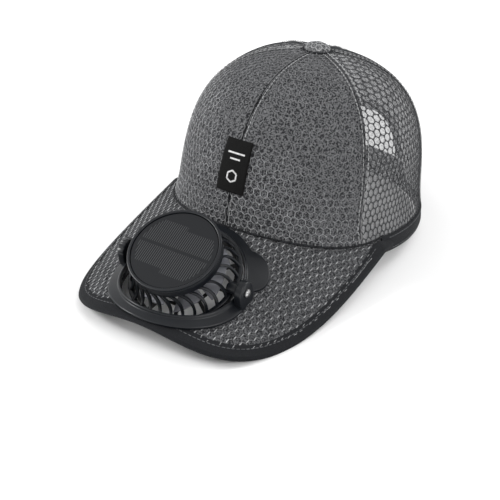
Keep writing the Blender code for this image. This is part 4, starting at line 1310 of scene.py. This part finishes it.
hub = [(0.0, -5.0 * MM), (8.0 * MM, -5.0 * MM), (8.0 * MM, 5.0 * MM), (1.5 * MM, 5.0 * MM), (1.5 * MM, 12.0 * MM),
       (0.0, 12.0 * MM)]
hub_profile = [hub[0]] + rounded(hub, 0.8 * MM)[4:-4] + [hub[-1]]
parts = [spun(hub_profile, 48)] + [blade(2 * pi * k / BLADE_COUNT) for k in range(BLADE_COUNT)]
finish_piece("rotor_moulding", joined(parts), blade_plastic, POD, "rotor", ["fan_rotor"])
print("rotor with", BLADE_COUNT, "blades")

# %% [markdown]
# A cross-head screw holds the pod in each ear. The head is a small grid drawn round into a disc
# and domed. The faces that form a cross are pushed in.

# %% Screws
SCREW = {"foot": 36.4 * MM, "head": 45.9 * MM, "radius": 2.6 * MM, "height": 1.7 * MM, "shank": 1.4 * MM}


def screw(side):
    count = 9
    head = bmesh.new()
    bmesh.ops.create_grid(head, x_segments=count, y_segments=count, size=1.0)
    cross = []
    for face in head.faces:
        spot = face.calc_center_median()
        column, row = [round((v + 1) * count / 2 - 0.5) - count // 2 for v in (spot.x, spot.y)]
        if min(abs(column), abs(row)) == 0 and max(abs(column), abs(row)) <= 2:
            cross.append(face)
    pushed = bmesh.ops.extrude_face_region(head, geom=cross)["geom"]
    bmesh.ops.delete(head, geom=[f for f in cross if f.is_valid], context="FACES_ONLY")
    for vert in head.verts:
        x, y = vert.co.x, vert.co.y
        far = max(abs(x), abs(y))
        round_by = far / max(hypot(x, y), 1e-9)
        r = far * SCREW["radius"]
        vert.co = (x * round_by * SCREW["radius"], y * round_by * SCREW["radius"],
                   SCREW["height"] * (1 - 0.55 * (r / SCREW["radius"]) ** 4))
    for vert in [item for item in pushed if isinstance(item, bmesh.types.BMVert)]:
        vert.co.z -= 0.9 * MM
    rim = [edge for edge in head.edges if edge.is_boundary]
    skirt = bmesh.ops.extrude_edge_only(head, edges=rim)["geom"]
    for vert in [item for item in skirt if isinstance(item, bmesh.types.BMVert)]:
        vert.co.z = 0.0
    bmesh.ops.holes_fill(head, edges=head.edges, sides=0)
    bmesh.ops.recalc_face_normals(head, faces=head.faces)
    shank = bmesh.new()
    depth = SCREW["head"] - SCREW["foot"] + 0.4 * MM
    bmesh.ops.create_cone(shank, cap_ends=True, segments=24, radius1=SCREW["shank"], radius2=SCREW["shank"], depth=depth,
                          matrix=Matrix.Translation((0, 0, 0.4 * MM - depth / 2)))
    whole = joined([head, shank])
    turn = Matrix.Rotation(side * pi / 2, 4, "Y") @ Matrix.Translation((0, 0, SCREW["head"]))
    bmesh.ops.transform(whole, matrix=turn @ Matrix.Rotation(radians(20), 4, "Z"), verts=whole.verts)
    return whole


for name, side in (("left", 1), ("right", -1)):
    finish_piece("screw_" + name, screw(side), steel, POD, "fan_pod", ["pivot_screw_" + name])
print("screws with cross recess")

# %% [markdown]
# Three solids are hidden or plain on the real object and keep their own meshes: the ring under
# the peak, the guard under the fan and the motor. They only get a finish.

# %% Plain solids
for name, finish in (("under_ring", solid_plastic), ("lower_guard", solid_plastic), ("fan_motor", motor_can)):
    solid = frame["nodes"][name]
    solid.data.materials.clear()
    solid.data.materials.append(finish)
print("three solids refinished")

# %% [markdown]
# The studio: a plain white floor, one large soft light high on the left, a weaker one on the
# right and an even pale sky. The camera stands where the photo was taken from.

# %% Floor and light
def floor_finish():
    made, place, _ = start_finish("white_floor", on_solid=True)
    grain = noise(place, 0.01, 2.0)
    return end_finish(made, grain.colour(grey(0.86), grey(0.9)), 0.7)


floor_mesh = bmesh.new()
bmesh.ops.create_grid(floor_mesh, x_segments=1, y_segments=1, size=4.0)
floor_data = bpy.data.meshes.new("floor")
floor_mesh.to_mesh(floor_data)
floor_mesh.free()
floor_data.materials.append(floor_finish())
floor = bpy.data.objects.new("floor", floor_data)
bpy.context.collection.objects.link(floor)

world = bpy.data.worlds.new("studio")
bpy.context.scene.world = world
world.use_nodes = True
world.node_tree.nodes["Background"].inputs["Color"].default_value = (1.0, 1.0, 1.0, 1.0)
world.node_tree.nodes["Background"].inputs["Strength"].default_value = 0.82


def softbox(name, spot, size, power):
    data = bpy.data.lights.new(name, "AREA")
    data.shape = "SQUARE"
    data.size = size
    data.energy = power
    lamp = bpy.data.objects.new(name, data)
    bpy.context.collection.objects.link(lamp)
    lamp.location = spot
    lamp.rotation_euler = (Vector((0, 0, 0.05)) - Vector(spot)).to_track_quat("-Z", "Y").to_euler()


softbox("key", (-1.1, -0.6, 0.8), 0.5, 16.0)
softbox("fill", (0.95, -0.35, 0.75), 0.5, 5.0)
softbox("back", (0.35, 0.95, 0.75), 0.5, 6.0)
print("floor and three softboxes set")

# %% [markdown]
# The camera was solved from the photo in the cap's frame: its bearing, height, roll, distance
# and target. The lens follows from the size of the picture.

# %% Camera
VIEW = {"azimuth": radians(29.64), "elevation": radians(25.88), "roll": radians(5.47), "distance": 765.15 * MM,
        "target": Vector((-1.77, -57.08, -14.11)) * MM, "focal": 81.918}
a, e, r = VIEW["azimuth"], VIEW["elevation"], VIEW["roll"]
back = Vector((sin(a) * cos(e), -cos(a) * cos(e), sin(e)))
right = Vector((cos(a), sin(a), 0.0))
up = back.cross(right)
axes = Matrix((right * cos(r) + up * sin(r), up * cos(r) - right * sin(r), back)).transposed().to_4x4()
camera_data = bpy.data.cameras.new("camera")
camera_data.lens = VIEW["focal"]
camera_data.sensor_width = 36.0
camera = bpy.data.objects.new("camera", camera_data)
bpy.context.collection.objects.link(camera)
camera.matrix_world = HAT @ Matrix.Translation(VIEW["target"] + back * VIEW["distance"]) @ axes
bpy.context.scene.camera = camera
bpy.context.scene.view_settings.view_transform = "Standard"
print("camera at", [round(v, 3) for v in camera.matrix_world.translation])
